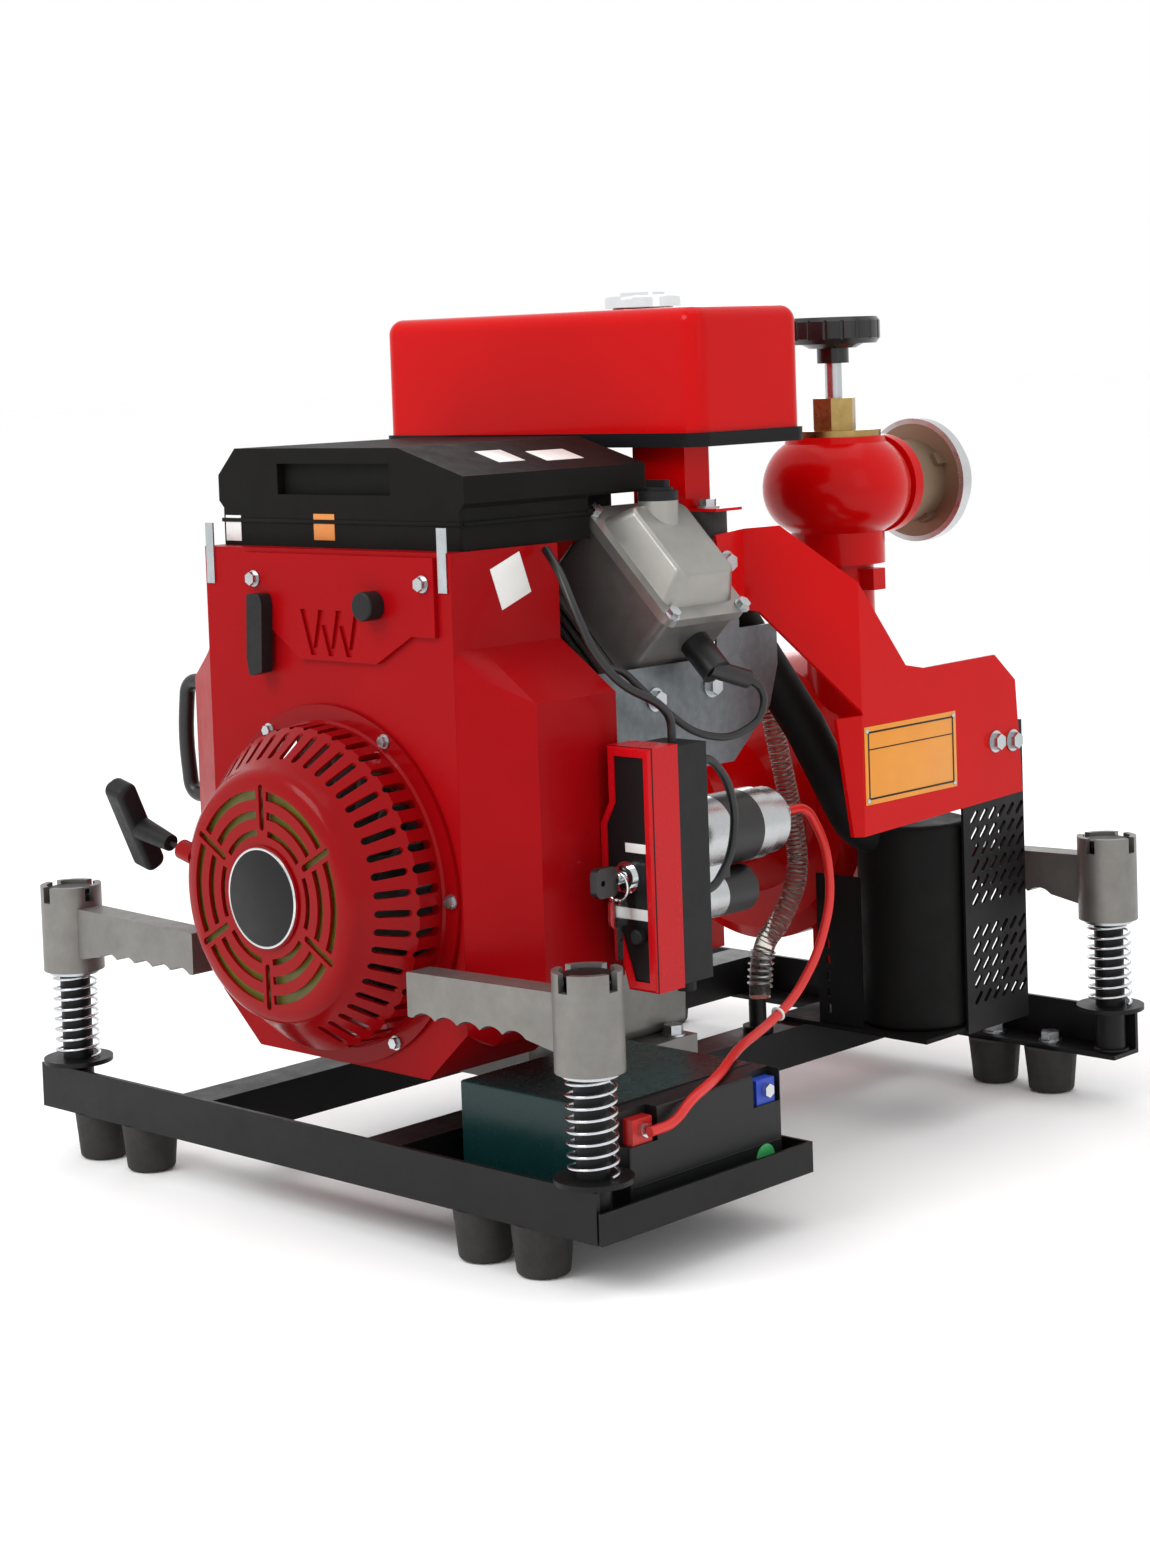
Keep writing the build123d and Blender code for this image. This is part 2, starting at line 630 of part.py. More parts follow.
hub_r = SHAFT_R + SHAFT_FIT
with BuildPart() as flywheel_fan:
    with BuildSketch(Plane.YZ):
        with BuildLine():
            Polyline((-300, CRANK_Z + hub_r), (-300, CRANK_Z + FAN_R), (-292, CRANK_Z + FAN_R),
                     (-286, CRANK_Z + 86), (-240, CRANK_Z + 86), (-240, CRANK_Z + 70), (-280, CRANK_Z + 70),
                     (-280, CRANK_Z + 30), (-240, CRANK_Z + 30), (-240, CRANK_Z + hub_r), close=True)
        make_face()
    revolve(axis=CRANK_LINE)
    with BuildSketch(Plane.XZ.offset(300.0)):
        with Locations((0, CRANK_Z)):
            with PolarLocations(88, 20):
                with Locations(Location((0, 0), 25)):
                    Rectangle(50, 4)
    extrude(amount=34)
save(flywheel_fan.part, "flywheel_fan")

with BuildPart() as recoil_pulley:
    with BuildSketch(Plane.YZ):
        with BuildLine():
            Polyline((-380, CRANK_Z + POST_BORE_R + 0.06), (-380, CRANK_Z + 44), (-376, CRANK_Z + 44),
                     (-376, CRANK_Z + 36), (-370, CRANK_Z + 36), (-370, CRANK_Z + 44), (-366, CRANK_Z + 44),
                     (-366, CRANK_Z + POST_BORE_R + 0.06), close=True)
        make_face()
    revolve(axis=CRANK_LINE)
save(recoil_pulley.part, "recoil_pulley")

ROPE_IN = 84.0            # length of rope inside the housing
# Rope grip: T-bar, stem and the drawn part of the rope.
with BuildPart() as pull_grip:
    with BuildSketch(Plane.YZ.offset(-92)):
        with Locations(Location((0, 0), 30)):
            RectangleRounded(20, 92, 8)
    extrude(amount=24)
    fillet(pull_grip.edges().group_by(Axis.X)[0], 5)
    fillet(pull_grip.edges().group_by(Axis.X)[-1], 5)
    with BuildSketch(Plane.YZ.offset(-70)):
        Circle(10)
    extrude(amount=40, taper=4)
    with BuildSketch(Plane.YZ.offset(-32)):
        Circle(ROPE_R)
    extrude(amount=32 + ROPE_IN)
with BuildPart() as pull_handle:
    with Locations(PULL_SPOT):
        add(pull_grip.part)
save(pull_handle.part, "pull_handle")

# ---------------------------------------------------------------- controls on the hood
with BuildPart() as choke_knob:
    with BuildSketch(Plane.XZ.offset(-HOOD_FRONT + 4.3)):
        with Locations((66, 508)):
            Circle(12)
    extrude(amount=15)
    fillet(choke_knob.edges().group_by(Axis.Y)[0], 2)
    with BuildSketch(Plane.XZ.offset(-HOOD_FRONT + 4.3)):
        with Locations((66, 508)):
            Circle(4)
    extrude(amount=-30)
save(choke_knob.part, "choke_knob")

with BuildPart() as throttle_lever:
    with BuildSketch(Plane.XZ.offset(-HOOD_FRONT + 4.3)):
        with BuildLine():
            Polyline((-80, 514), (-64, 514), (-61, 506), (-64, 448), (-80, 444), (-83, 460), close=True)
        make_face()
    extrude(amount=12)
    fillet(throttle_lever.edges().filter_by(Axis.Y), 3)
    with BuildSketch(Plane.XZ.offset(-HOOD_FRONT + 4.3)):
        with Locations((-72, 508)):
            Circle(5)
    extrude(amount=-20)
save(throttle_lever.part, "throttle_lever")

# ---------------------------------------------------------------- air filter
with BuildPart() as air_filter_cover:
    with BuildSketch(Plane.XZ.offset(-FILTER_FRONT)):
        with BuildLine():
            half = FILTER_HALF
            Polyline((-half + 4, FILTER_LOW), (half - 4, FILTER_LOW), (half - 4, 586), (half, 590), (half, 612),
                     (76, FILTER_TOP), (-129, FILTER_TOP), (-half, 612), (-half, 590), (-half + 4, 586), close=True)
        make_face()
    extrude(amount=FILTER_FRONT - FILTER_BACK)
    with BuildSketch(Plane.XZ.offset(-FILTER_FRONT)):
        with Locations((-4, 609)):
            Rectangle(140, 26)
    extrude(amount=-8, mode=Mode.SUBTRACT)
    upright = air_filter_cover.edges().filter_by(Axis.Z).filter_by(lambda e: e.length > 30)
    fillet(upright.group_by(Axis.Y)[0], 3)
    # room for the rocker covers
    for side in (-1, 1):
        add(box_between(min(side * 112, side * 160), max(side * 112, side * 160), CYL_Y - HEAD_Y - 8,
                        FILTER_BACK + 1, FILTER_LOW - 1, 588), mode=Mode.SUBTRACT)
    # element space
    add(box_between(-106, 70, FILTER_FRONT + 24, FILTER_BACK - 16, FILTER_LOW + 6, FILTER_TOP - 6),
        mode=Mode.SUBTRACT)
    with BuildSketch(Plane.XY.offset(FILTER_LOW - 1)):
        with Locations((0, -137)):
            Circle(20)
    extrude(amount=10, mode=Mode.SUBTRACT)
save(air_filter_cover.part, "air_filter_cover")

# ---------------------------------------------------------------- fuel tank
with BuildPart() as fuel_tank:
    tank_y = (TANK_FRONT + TANK_BACK) / 2
    tank_w = TANK_BACK - TANK_FRONT
    with BuildSketch(Plane(origin=(0, tank_y, TANK_LOW))):
        RectangleRounded(2 * TANK_HALF, tank_w, TANK_ROUND)
    extrude(amount=TANK_TOP - TANK_LOW)
    fillet(fuel_tank.faces().sort_by(Axis.Z)[-1].edges(), TANK_ROUND - 2)
    with BuildSketch(Plane(origin=(0, tank_y, TANK_LOW + TANK_WALL))):
        RectangleRounded(2 * (TANK_HALF - TANK_WALL), tank_w - 2 * TANK_WALL, TANK_ROUND - TANK_WALL)
    extrude(amount=TANK_TOP - TANK_LOW - 16, mode=Mode.SUBTRACT)
    with BuildSketch(Plane(origin=(CAP_X, CAP_Y, TANK_TOP))):
        Circle(27)
    extrude(amount=2)
    with BuildSketch(Plane(origin=(CAP_X, CAP_Y, TANK_TOP + 2))):
        Circle(22)
    extrude(amount=-22, mode=Mode.SUBTRACT)
save(fuel_tank.part, "fuel_tank")

with BuildPart() as fuel_cap:
    with BuildSketch(Plane(origin=(CAP_X, CAP_Y, TANK_TOP + 2.3))):
        Circle(CAP_R)
    extrude(amount=10)
    fillet(fuel_cap.edges().group_by(Axis.Z)[-1], 3)
    with BuildSketch(Plane(origin=(CAP_X, CAP_Y, TANK_TOP + 12.3))):
        Circle(20)
    extrude(amount=3)
    with BuildSketch(Plane(origin=(CAP_X, CAP_Y, TANK_TOP + 2.3))):
        Circle(21.9)
    extrude(amount=-12)
save(fuel_cap.part, "fuel_cap")

# Tank carrier: black base flange with folded legs on the rubber blocks and a
# long rear leg to the pump flange.
LEG_FOOT_Z = TANK_MOUNT_LOW + TANK_MOUNT_H
REAR_LEG_Z = 384.0
ADAPTER_FRONT = CASE_BACK
LEG_FRONT = CYL_Y + HEAD_Y + 5
with BuildPart() as tank_bracket:
    with BuildSketch(Plane(origin=(0, tank_y, TANK_LOW - 12))):
        RectangleRounded(2 * TANK_HALF + 6, tank_w + 6, TANK_ROUND)
    extrude(amount=12)
    for side in (-1, 1):
        leg_in = side * 100
        leg_out = side * 160
        add(box_between(min(leg_in, leg_out), max(leg_in, leg_out), LEG_FRONT, LEG_FRONT + SHEET, LEG_FOOT_Z,
                        TANK_LOW - 12))
        side_sheet = leg_out - side * SHEET
        add(box_between(min(side_sheet, leg_out), max(side_sheet, leg_out), LEG_FRONT, -8, LEG_FOOT_Z,
                        TANK_LOW - 12))
        toe = side * 194
        add(box_between(min(side_sheet, toe), max(side_sheet, toe), LEG_FRONT, -6, LEG_FOOT_Z,
                        LEG_FOOT_Z + SHEET))
    add(box_between(-110, -60, 64, 64 + SHEET, REAR_LEG_Z, TANK_LOW - 12))
save(tank_bracket.part, "tank_bracket")

# ---------------------------------------------------------------- starter motor
with BuildPart() as starter_motor:
    with BuildSketch(Plane(origin=(STARTER_X, STARTER_FRONT, STARTER_Z), z_dir=(0, 1, 0))):
        Circle(STARTER_R)
    extrude(amount=STARTER_BACK - STARTER_FRONT)
    with BuildSketch(Plane(origin=(STARTER_X, STARTER_BACK, STARTER_Z), z_dir=(0, 1, 0))):
        Circle(STARTER_R - 2)
    extrude(amount=22)
    fillet(starter_motor.edges().group_by(Axis.Y)[-1], 4)
    with BuildSketch(Plane(origin=(STARTER_X + 4, STARTER_FRONT + 16, STARTER_Z - 52), z_dir=(0, 1, 0))):
        Circle(20)
    extrude(amount=74)
    add(box_between(STARTER_X - 12, STARTER_X + 18, STARTER_FRONT + 16, STARTER_FRONT + 60,
                    STARTER_Z - 45, STARTER_Z - 20))
    with BuildSketch(Plane(origin=(STARTER_X + 10, STARTER_BACK + 22, STARTER_Z + 6), z_dir=(0, 1, 0))):
        Circle(5)
    extrude(amount=14)
save(starter_motor.part, "starter_motor")


# ---------------------------------------------------------------- control box
def box_corners(inset):
    """Outline of the box front, drawn in by inset."""
    left = HOOD_HALF + inset
    return [(222 + inset, BOX_HIGH - inset), (BOX_RIGHT - inset, BOX_HIGH - inset),
            (BOX_RIGHT - inset, BOX_LOW + inset), (238 + inset, BOX_LOW + inset),
            (226 + inset, 238), (left, 288), (left, 328), (222 + inset, 346)]


BARREL_X = 242.0
BARREL_Z = 287.0
BUTTON_X = BARREL_X + 11
with BuildPart() as control_box_front:
    with BuildSketch(Plane.XZ.offset(-BOX_FRONT)):
        with BuildLine():
            Polyline(*box_corners(0), close=True)
        make_face()
    extrude(amount=BOX_FRONT - BOX_SPLIT)
    fillet(control_box_front.faces().sort_by(Axis.Y)[0].edges(), 3)
    with BuildSketch(Plane.XZ.offset(-BOX_FRONT)):
        with BuildLine():
            Polyline(*box_corners(8), close=True)
        make_face()
    extrude(amount=-2, mode=Mode.SUBTRACT)
    with BuildSketch(Plane.XZ.offset(-BOX_FRONT)):
        with Locations((BARREL_X, BARREL_Z)):
            Circle(9)
        with Locations((BUTTON_X, 240)):
            Circle(6.1)
    extrude(amount=-20, mode=Mode.SUBTRACT)
save(control_box_front.part, "control_box_front")

with BuildPart() as control_box_rear:
    with BuildSketch(Plane.XZ.offset(-BOX_SPLIT)):
        with BuildLine():
            Polyline((224, BOX_HIGH - 2), (BOX_RIGHT - 2, BOX_HIGH - 2), (BOX_RIGHT - 2, BOX_LOW + 2),
                     (240, BOX_LOW + 2), (224, 240), close=True)
        make_face()
    extrude(amount=BOX_SPLIT - BOX_BACK)
    chamfer(control_box_rear.faces().sort_by(Axis.Y)[-1].edges(), 3)
    # cable gland below
    with BuildSketch(Plane(origin=(252, BOX_SPLIT + 22, BOX_LOW + 2), z_dir=(0, 0, -1))):
        Circle(8)
    extrude(amount=10)
save(control_box_rear.part, "control_box_rear")

# Key in the lock; the spare key hangs from its shank on a split ring.
SHANK_R = 4.5
RING_R = 11.4
RING_WIRE = 0.9
RING_Y = BOX_FRONT - 13.3
RING_TOP_Z = BARREL_Z + SHANK_R + RING_WIRE + 0.3
SPARE_HOLE_R = 2.6
SPARE_Z = RING_TOP_Z - 2 * RING_R - SPARE_HOLE_R + RING_WIRE + 0.3
with BuildPart() as split_ring:
    with BuildLine():
        ring_line = CenterArc((0, 0, 0), RING_R, 0, 360)
    with BuildSketch(Plane(origin=ring_line @ 0, z_dir=ring_line % 0)):
        Circle(RING_WIRE)
    sweep(path=ring_line)
with BuildPart() as spare_key:
    with BuildSketch(Plane.YZ.offset(BARREL_X)):
        with Locations((RING_Y, SPARE_Z - 8.5)):
            RectangleRounded(20, 24, 6)
        with Locations((RING_Y, SPARE_Z)):
            Circle(SPARE_HOLE_R, mode=Mode.SUBTRACT)
        with Locations((RING_Y, SPARE_Z - 33)):
            Rectangle(7, 26)
    extrude(amount=1.4, both=True)
with BuildPart() as lock_barrel:
    with BuildSketch(Plane.XZ.offset(-BOX_FRONT - 20)):
        with Locations((BARREL_X, BARREL_Z)):
            Circle(8.9)
    extrude(amount=18)
    with BuildSketch(Plane.XZ.offset(-BOX_FRONT - 2)):
        with Locations((BARREL_X, BARREL_Z)):
            Circle(13)
    extrude(amount=4)
    with BuildSketch(Plane.XZ.offset(-BOX_FRONT + 2)):
        with Locations((BARREL_X, BARREL_Z)):
            Circle(10)
    extrude(amount=9)
    with BuildSketch(Plane.XZ.offset(-BOX_FRONT + 12)):
        with Locations((BARREL_X, BARREL_Z)):
            Circle(SHANK_R + 0.1)
    extrude(amount=-22, mode=Mode.SUBTRACT)
    with Locations(Location((BARREL_X, RING_Y, RING_TOP_Z - RING_R), (90, 0, 0))):
        add(split_ring.part)
    add(spare_key.part)
save(lock_barrel.part, "lock_barrel")

with BuildPart() as key:
    with BuildSketch(Plane.XZ.offset(-BOX_FRONT - 9)):
        with Locations((BARREL_X, BARREL_Z)):
            Circle(SHANK_R)
    extrude(amount=26)
    with BuildSketch(Plane.YZ.offset(BARREL_X - 3.5)):
        with Locations((BOX_FRONT - 28, BARREL_Z)):
            RectangleRounded(25, 24, 6)
        with Locations((BOX_FRONT - 33, BARREL_Z)):
            Circle(2.4, mode=Mode.SUBTRACT)
    extrude(amount=7)
save(key.part, "key")

with BuildPart() as breaker_button:
    with BuildSketch(Plane.XZ.offset(-BOX_FRONT - 14)):
        with Locations((BUTTON_X, 240)):
            Circle(6)
    extrude(amount=20)
    fillet(breaker_button.edges().group_by(Axis.Y)[0], 1.5)
save(breaker_button.part, "breaker_button")

# ---------------------------------------------------------------- pump
PUMP_FRONT = PUMP_Y - VOLUTE_HALF
PUMP_BACK = PUMP_Y + VOLUTE_HALF
with BuildPart() as pump_casing:
    with BuildSketch(Plane.YZ):
        with BuildLine():
            Polyline(
                (ADAPTER_FRONT, CRANK_Z + SHAFT_R + 1), (ADAPTER_FRONT, CRANK_Z + 110),
                (ADAPTER_FRONT + 12, CRANK_Z + 110), (ADAPTER_FRONT + 16, CRANK_Z + 96),
                (ADAPTER_FRONT + 80, CRANK_Z + 74), (PUMP_FRONT - 30, CRANK_Z + 66),
                (PUMP_FRONT, CRANK_Z + 90), (PUMP_FRONT, CRANK_Z + VOLUTE_R - 14),
                (PUMP_FRONT + 14, CRANK_Z + VOLUTE_R), (PUMP_BACK - 14, CRANK_Z + VOLUTE_R),
                (PUMP_BACK, CRANK_Z + VOLUTE_R - 12), (PUMP_BACK, CRANK_Z + 112),
                (PUMP_FRONT + 12, CRANK_Z + 112), (PUMP_FRONT + 12, CRANK_Z + SHAFT_R + 1), close=True,
            )
        make_face()
    revolve(axis=CRANK_LINE)
    with BuildSketch(Plane(origin=(VALVE_X, PUMP_Y, CRANK_Z + 60))):
        Circle(33)
    extrude(amount=500 - CRANK_Z - 60)
    with BuildSketch(Plane(origin=(VALVE_X, PUMP_Y, CRANK_Z))):
        Circle(25)
    extrude(amount=501 - CRANK_Z, mode=Mode.SUBTRACT)
    with BuildSketch(Plane(origin=(0, PUMP_BACK + 1, CRANK_Z), z_dir=(0, -1, 0))):
        Circle(112)
    extrude(amount=2 * VOLUTE_HALF - 11, mode=Mode.SUBTRACT)
    # locking lug on the delivery neck
    add(box_between(VALVE_X + 28, VALVE_X + 48, PUMP_Y - 9, PUMP_Y + 9, 476, 496))
    # feet on the rubber blocks
    for x, y in PUMP_FEET:
        low = RAIL_TOP + PUMP_MOUNT_H
        add(box_between(x - 22, x + 22, y - 26, y + 26, low, low + 10))
        arm = x * 0.62
        add(box_between(min(arm, x) - 8, max(arm, x) + 8, y - 10, y + 10, low, low + 62))
    with BuildSketch(Plane(origin=(0, PUMP_BACK + 1, CRANK_Z), z_dir=(0, -1, 0))):
        Circle(112)
    extrude(amount=2 * VOLUTE_HALF - 11, mode=Mode.SUBTRACT)
    # seat of the tank's rear leg
    add(box_between(-112, -58, 52, 64, CRANK_Z + 40, REAR_LEG_Z + 26))
save(pump_casing.part, "pump_casing")

with BuildPart() as pump_impeller:
    with BuildSketch(Plane.YZ):
        with BuildLine():
            Polyline((PUMP_FRONT + 18, CRANK_Z + hub_r), (PUMP_FRONT + 18, CRANK_Z + 98),
                     (PUMP_FRONT + 24, CRANK_Z + 98), (PUMP_FRONT + 30, CRANK_Z + 40),
                     (PUMP_Y + 22, CRANK_Z + 26), (PUMP_Y + 22, CRANK_Z + hub_r), close=True)
        make_face()
    revolve(axis=CRANK_LINE)
    with BuildSketch(Plane.XZ.offset(-PUMP_FRONT - 20)):
        with Locations((0, CRANK_Z)):
            with PolarLocations(66, 7):
                with Locations(Location((0, 0), 40)):
                    Rectangle(62, 4)
    extrude(amount=-32)
save(pump_impeller.part, "pump_impeller")

# Suction cover, pipe and claw coupling facing away from the engine.
SUCTION_END = 422.0
with BuildPart() as suction_inlet:
    with BuildSketch(Plane.YZ):
        with BuildLine():
            Polyline(
                (PUMP_BACK, CRANK_Z + 39), (PUMP_BACK, CRANK_Z + 126), (PUMP_BACK + 13, CRANK_Z + 126),
                (PUMP_BACK + 13, CRANK_Z + 102), (PUMP_BACK + 17, CRANK_Z + 98),
                (PUMP_BACK + 30, CRANK_Z + 52), (SUCTION_END - 44, CRANK_Z + 50),
                (SUCTION_END - 40, CRANK_Z + 70), (SUCTION_END - 24, CRANK_Z + 70),
                (SUCTION_END - 20, CRANK_Z + 58), (SUCTION_END, CRANK_Z + 58), (SUCTION_END, CRANK_Z + 39),
                close=True,
            )
        make_face()
    revolve(axis=CRANK_LINE)
    with BuildSketch(Plane.XZ.offset(-SUCTION_END)):
        with Locations((0, CRANK_Z)):
            with PolarLocations(54, 2):
                Rectangle(9, 26)
    extrude(amount=-10, mode=Mode.SUBTRACT)
save(suction_inlet.part, "suction_inlet")

# ---------------------------------------------------------------- discharge valve
VALVE_LINE = Axis((VALVE_X, PUMP_Y, 0), (0, 0, 1))
BODY_LOW = 500.0
BODY_TOP = 620.0
OUT_Y = PUMP_Y + 74
with BuildPart() as valve_body:
    with BuildSketch(Plane(origin=(VALVE_X, PUMP_Y, 0), x_dir=(1, 0, 0), z_dir=(0, -1, 0))):
        with BuildLine():
            Polyline((0, BODY_LOW), (44, BODY_LOW), (44, 530), (50, 534))
            Spline((50, 534), (66, 552), (GLOBE_R, VALVE_Z), (64, 596), (48, 614))
            Polyline((48, 614), (46, BODY_TOP), (0, BODY_TOP), (0, BODY_LOW))
        make_face()
    revolve(axis=VALVE_LINE)
    with BuildSketch(Plane(origin=(VALVE_X, PUMP_Y, VALVE_Z), z_dir=(0, 1, 0))):
        Circle(41)
    extrude(amount=OUT_Y - PUMP_Y)
    with BuildSketch(Plane(origin=(VALVE_X, OUT_Y - 12, VALVE_Z), z_dir=(0, 1, 0))):
        Circle(47)
    extrude(amount=12)
    # flow chamber, bore and seat
    with BuildSketch(Plane(origin=(VALVE_X, PUMP_Y, BODY_LOW))):
        Circle(25)
    extrude(amount=50, mode=Mode.SUBTRACT)
    with BuildSketch(Plane(origin=(VALVE_X, PUMP_Y, 550))):
        Circle(38)
    extrude(amount=BODY_TOP - 550, mode=Mode.SUBTRACT)
    with BuildSketch(Plane(origin=(VALVE_X, PUMP_Y, VALVE_Z), z_dir=(0, 1, 0))):
        Circle(21)
    extrude(amount=OUT_Y - PUMP_Y, mode=Mode.SUBTRACT)
save(valve_body.part, "valve_body")

BONNET_TOP = 656.0
with BuildPart() as valve_bonnet:
    with BuildSketch(Plane(origin=(VALVE_X, PUMP_Y, BODY_TOP))):
        Circle(43)
    extrude(amount=6)
    with BuildSketch(Plane(origin=(VALVE_X, PUMP_Y, BODY_TOP + 6))):
        RegularPolygon(18.5, 6, major_radius=False)
    extrude(amount=BONNET_TOP - BODY_TOP - 6)
    with BuildSketch(Plane(origin=(VALVE_X, PUMP_Y, BODY_TOP))):
        Circle(STEM_R + STEM_FIT)
    extrude(amount=BONNET_TOP - BODY_TOP, mode=Mode.SUBTRACT)
save(valve_bonnet.part, "valve_bonnet")

DISC_LOW = 550.3
with BuildPart() as valve_disc:
    with BuildSketch(Plane(origin=(VALVE_X, PUMP_Y, DISC_LOW))):
        Circle(31)
    extrude(amount=9)
    with BuildSketch(Plane(origin=(VALVE_X, PUMP_Y, DISC_LOW + 9))):
        Circle(13)
        Circle(STEM_R + 0.3, mode=Mode.SUBTRACT)
    extrude(amount=12)
save(valve_disc.part, "valve_disc")

WHEEL_LOW = 703.0
WHEEL_T = 31.0
with BuildPart() as handwheel:
    with BuildSketch(Plane(origin=(VALVE_X, PUMP_Y, DISC_LOW + 9.3))):
        Circle(STEM_R)
    extrude(amount=WHEEL_LOW - DISC_LOW - 9.3)
    with BuildSketch(Plane(origin=(VALVE_X, PUMP_Y, WHEEL_LOW - 14))):
        Circle(15)
    extrude(amount=16)
    with BuildSketch(Plane(origin=(VALVE_X, PUMP_Y, 0), x_dir=(1, 0, 0), z_dir=(0, -1, 0))):
        with BuildLine():
            Polyline((0, WHEEL_LOW), (22, WHEEL_LOW), (WHEEL_R - 12, WHEEL_LOW + 6), (WHEEL_R - 4, WHEEL_LOW + 4),
                     (WHEEL_R, WHEEL_LOW + 9), (WHEEL_R, WHEEL_LOW + 25), (WHEEL_R - 3, WHEEL_LOW + WHEEL_T - 2),
                     (WHEEL_R - 9, WHEEL_LOW + WHEEL_T - 2), (WHEEL_R - 14, WHEEL_LOW + 16), (14, WHEEL_LOW + 13),
                     (14, WHEEL_LOW + 18), (0, WHEEL_LOW + 18), close=True)
        make_face()
    revolve(axis=VALVE_LINE)
    with BuildSketch(Plane(origin=(VALVE_X, PUMP_Y, WHEEL_LOW + 17))):
        with PolarLocations(WHEEL_R + 2, 18):
            Circle(3)
    extrude(amount=WHEEL_T, both=True, mode=Mode.SUBTRACT)
save(handwheel.part, "handwheel")

COUPLING_R = 60.0
COUPLING_END = OUT_Y + 72
with BuildPart() as outlet_coupling:
    with BuildSketch(Plane.YZ.offset(VALVE_X)):
        with BuildLine():
            Polyline(
                (OUT_Y, VALVE_Z + 32.5), (OUT_Y, VALVE_Z + 40), (OUT_Y + 44, VALVE_Z + 40),
                (OUT_Y + 46, VALVE_Z + COUPLING_R), (OUT_Y + 58, VALVE_Z + COUPLING_R),
                (OUT_Y + 60, VALVE_Z + 51), (COUPLING_END, VALVE_Z + 51), (COUPLING_END, VALVE_Z + 32.5),
                close=True,
            )
        make_face()
    revolve(axis=Axis((VALVE_X, 0, VALVE_Z), (0, 1, 0)))
    with BuildSketch(Plane.XZ.offset(-COUPLING_END)):
        with Locations((VALVE_X, VALVE_Z)):
            with PolarLocations(48, 2):
                Rectangle(8, 24)
    extrude(amount=-9, mode=Mode.SUBTRACT)
    with BuildSketch(Plane.XZ.offset(-OUT_Y - 46)):
        with Locations((VALVE_X, VALVE_Z)):
            with PolarLocations(41.5, 4, start_angle=30):
                Rectangle(5, 12)
    extrude(amount=14)
save(outlet_coupling.part, "outlet_coupling")

# ---------------------------------------------------------------- exhaust
SHELF_T = 4.0
with BuildPart() as exhaust_run:
    with BuildLine():
        pipe_line = FilletPolyline(
            (152, CYL_Y + HEAD_Y, 490), (152, 14, 490), (176, 92, 368), (186, 150, 268),
            (MUFFLER_X, MUFFLER_Y, 250), radius=[42, 60, 48],
        )
    with BuildSketch(Plane(origin=pipe_line @ 0, z_dir=pipe_line % 0)):
        Circle(PIPE_R)
    sweep(path=pipe_line)
with BuildPart() as muffler:
    with BuildSketch(Plane(origin=(MUFFLER_X, MUFFLER_Y, MUFFLER_LOW))):
        Circle(MUFFLER_R)
    extrude(amount=MUFFLER_TOP - MUFFLER_LOW)
    fillet(muffler.edges().group_by(Axis.Z)[0], 5)
    fillet(muffler.edges().group_by(Axis.Z)[-1], 5)
    add(exhaust_run.part)
    add(box_between(86, PANEL_X - 2 * SHEET, MUFFLER_Y - 60, MUFFLER_Y + 26, RAIL_TOP, RAIL_TOP + SHELF_T))
save(muffler.part, "muffler")

# Slotted heat guard beside the muffler, its front shield on the shelf, and the
# red panel outside it.
GUARD_Y0 = 206.0
GUARD_Y1 = 300.0
GUARD_TOP = 356.0
GUARD_X = PANEL_X - 2 * SHEET
SHIELD_X0 = 138.0
SHIELD_X1 = 188.0
SHIELD_TOP = 224.0
with BuildPart() as heat_guard:
    add(box_between(GUARD_X, GUARD_X + SHEET, GUARD_Y0, GUARD_Y1, RAIL_TOP - 2, GUARD_TOP))
    with BuildSketch(Plane.YZ.offset(GUARD_X - 1)):
        with Locations((GUARD_Y0 + 52, 238)):
            with GridLocations(14, 15, 6, 6):
                with Locations(Location((0, 0), 45)):
                    SlotOverall(15, 4.5)
        with Locations((GUARD_Y0 + 52, 140)):
            with GridLocations(14, 15, 6, 5):
                with Locations(Location((0, 0), 45)):
                    SlotOverall(15, 4.5)
    extrude(amount=SHEET + 2, mode=Mode.SUBTRACT)
    add(box_between(GUARD_X - 24, GUARD_X, GUARD_Y1 - SHEET, GUARD_Y1, 110, GUARD_TOP))
with BuildPart() as shield:
    add(box_between(SHIELD_X0, SHIELD_X1, MUFFLER_Y - 58, MUFFLER_Y - 58 + SHEET, RAIL_TOP + SHELF_T, SHIELD_TOP))
    with BuildSketch(Plane.XZ.offset(-MUFFLER_Y + 59)):
        with Locations((SHIELD_X0 + 12, 152)):
            with GridLocations(1, 15, 1, 8):
                SlotOverall(9, 4, rotation=90)
    extrude(amount=-SHEET - 2, mode=Mode.SUBTRACT)
with BuildPart() as guards:
    add(heat_guard.part)
    add(shield.part)
save(guards.part, "heat_guard")

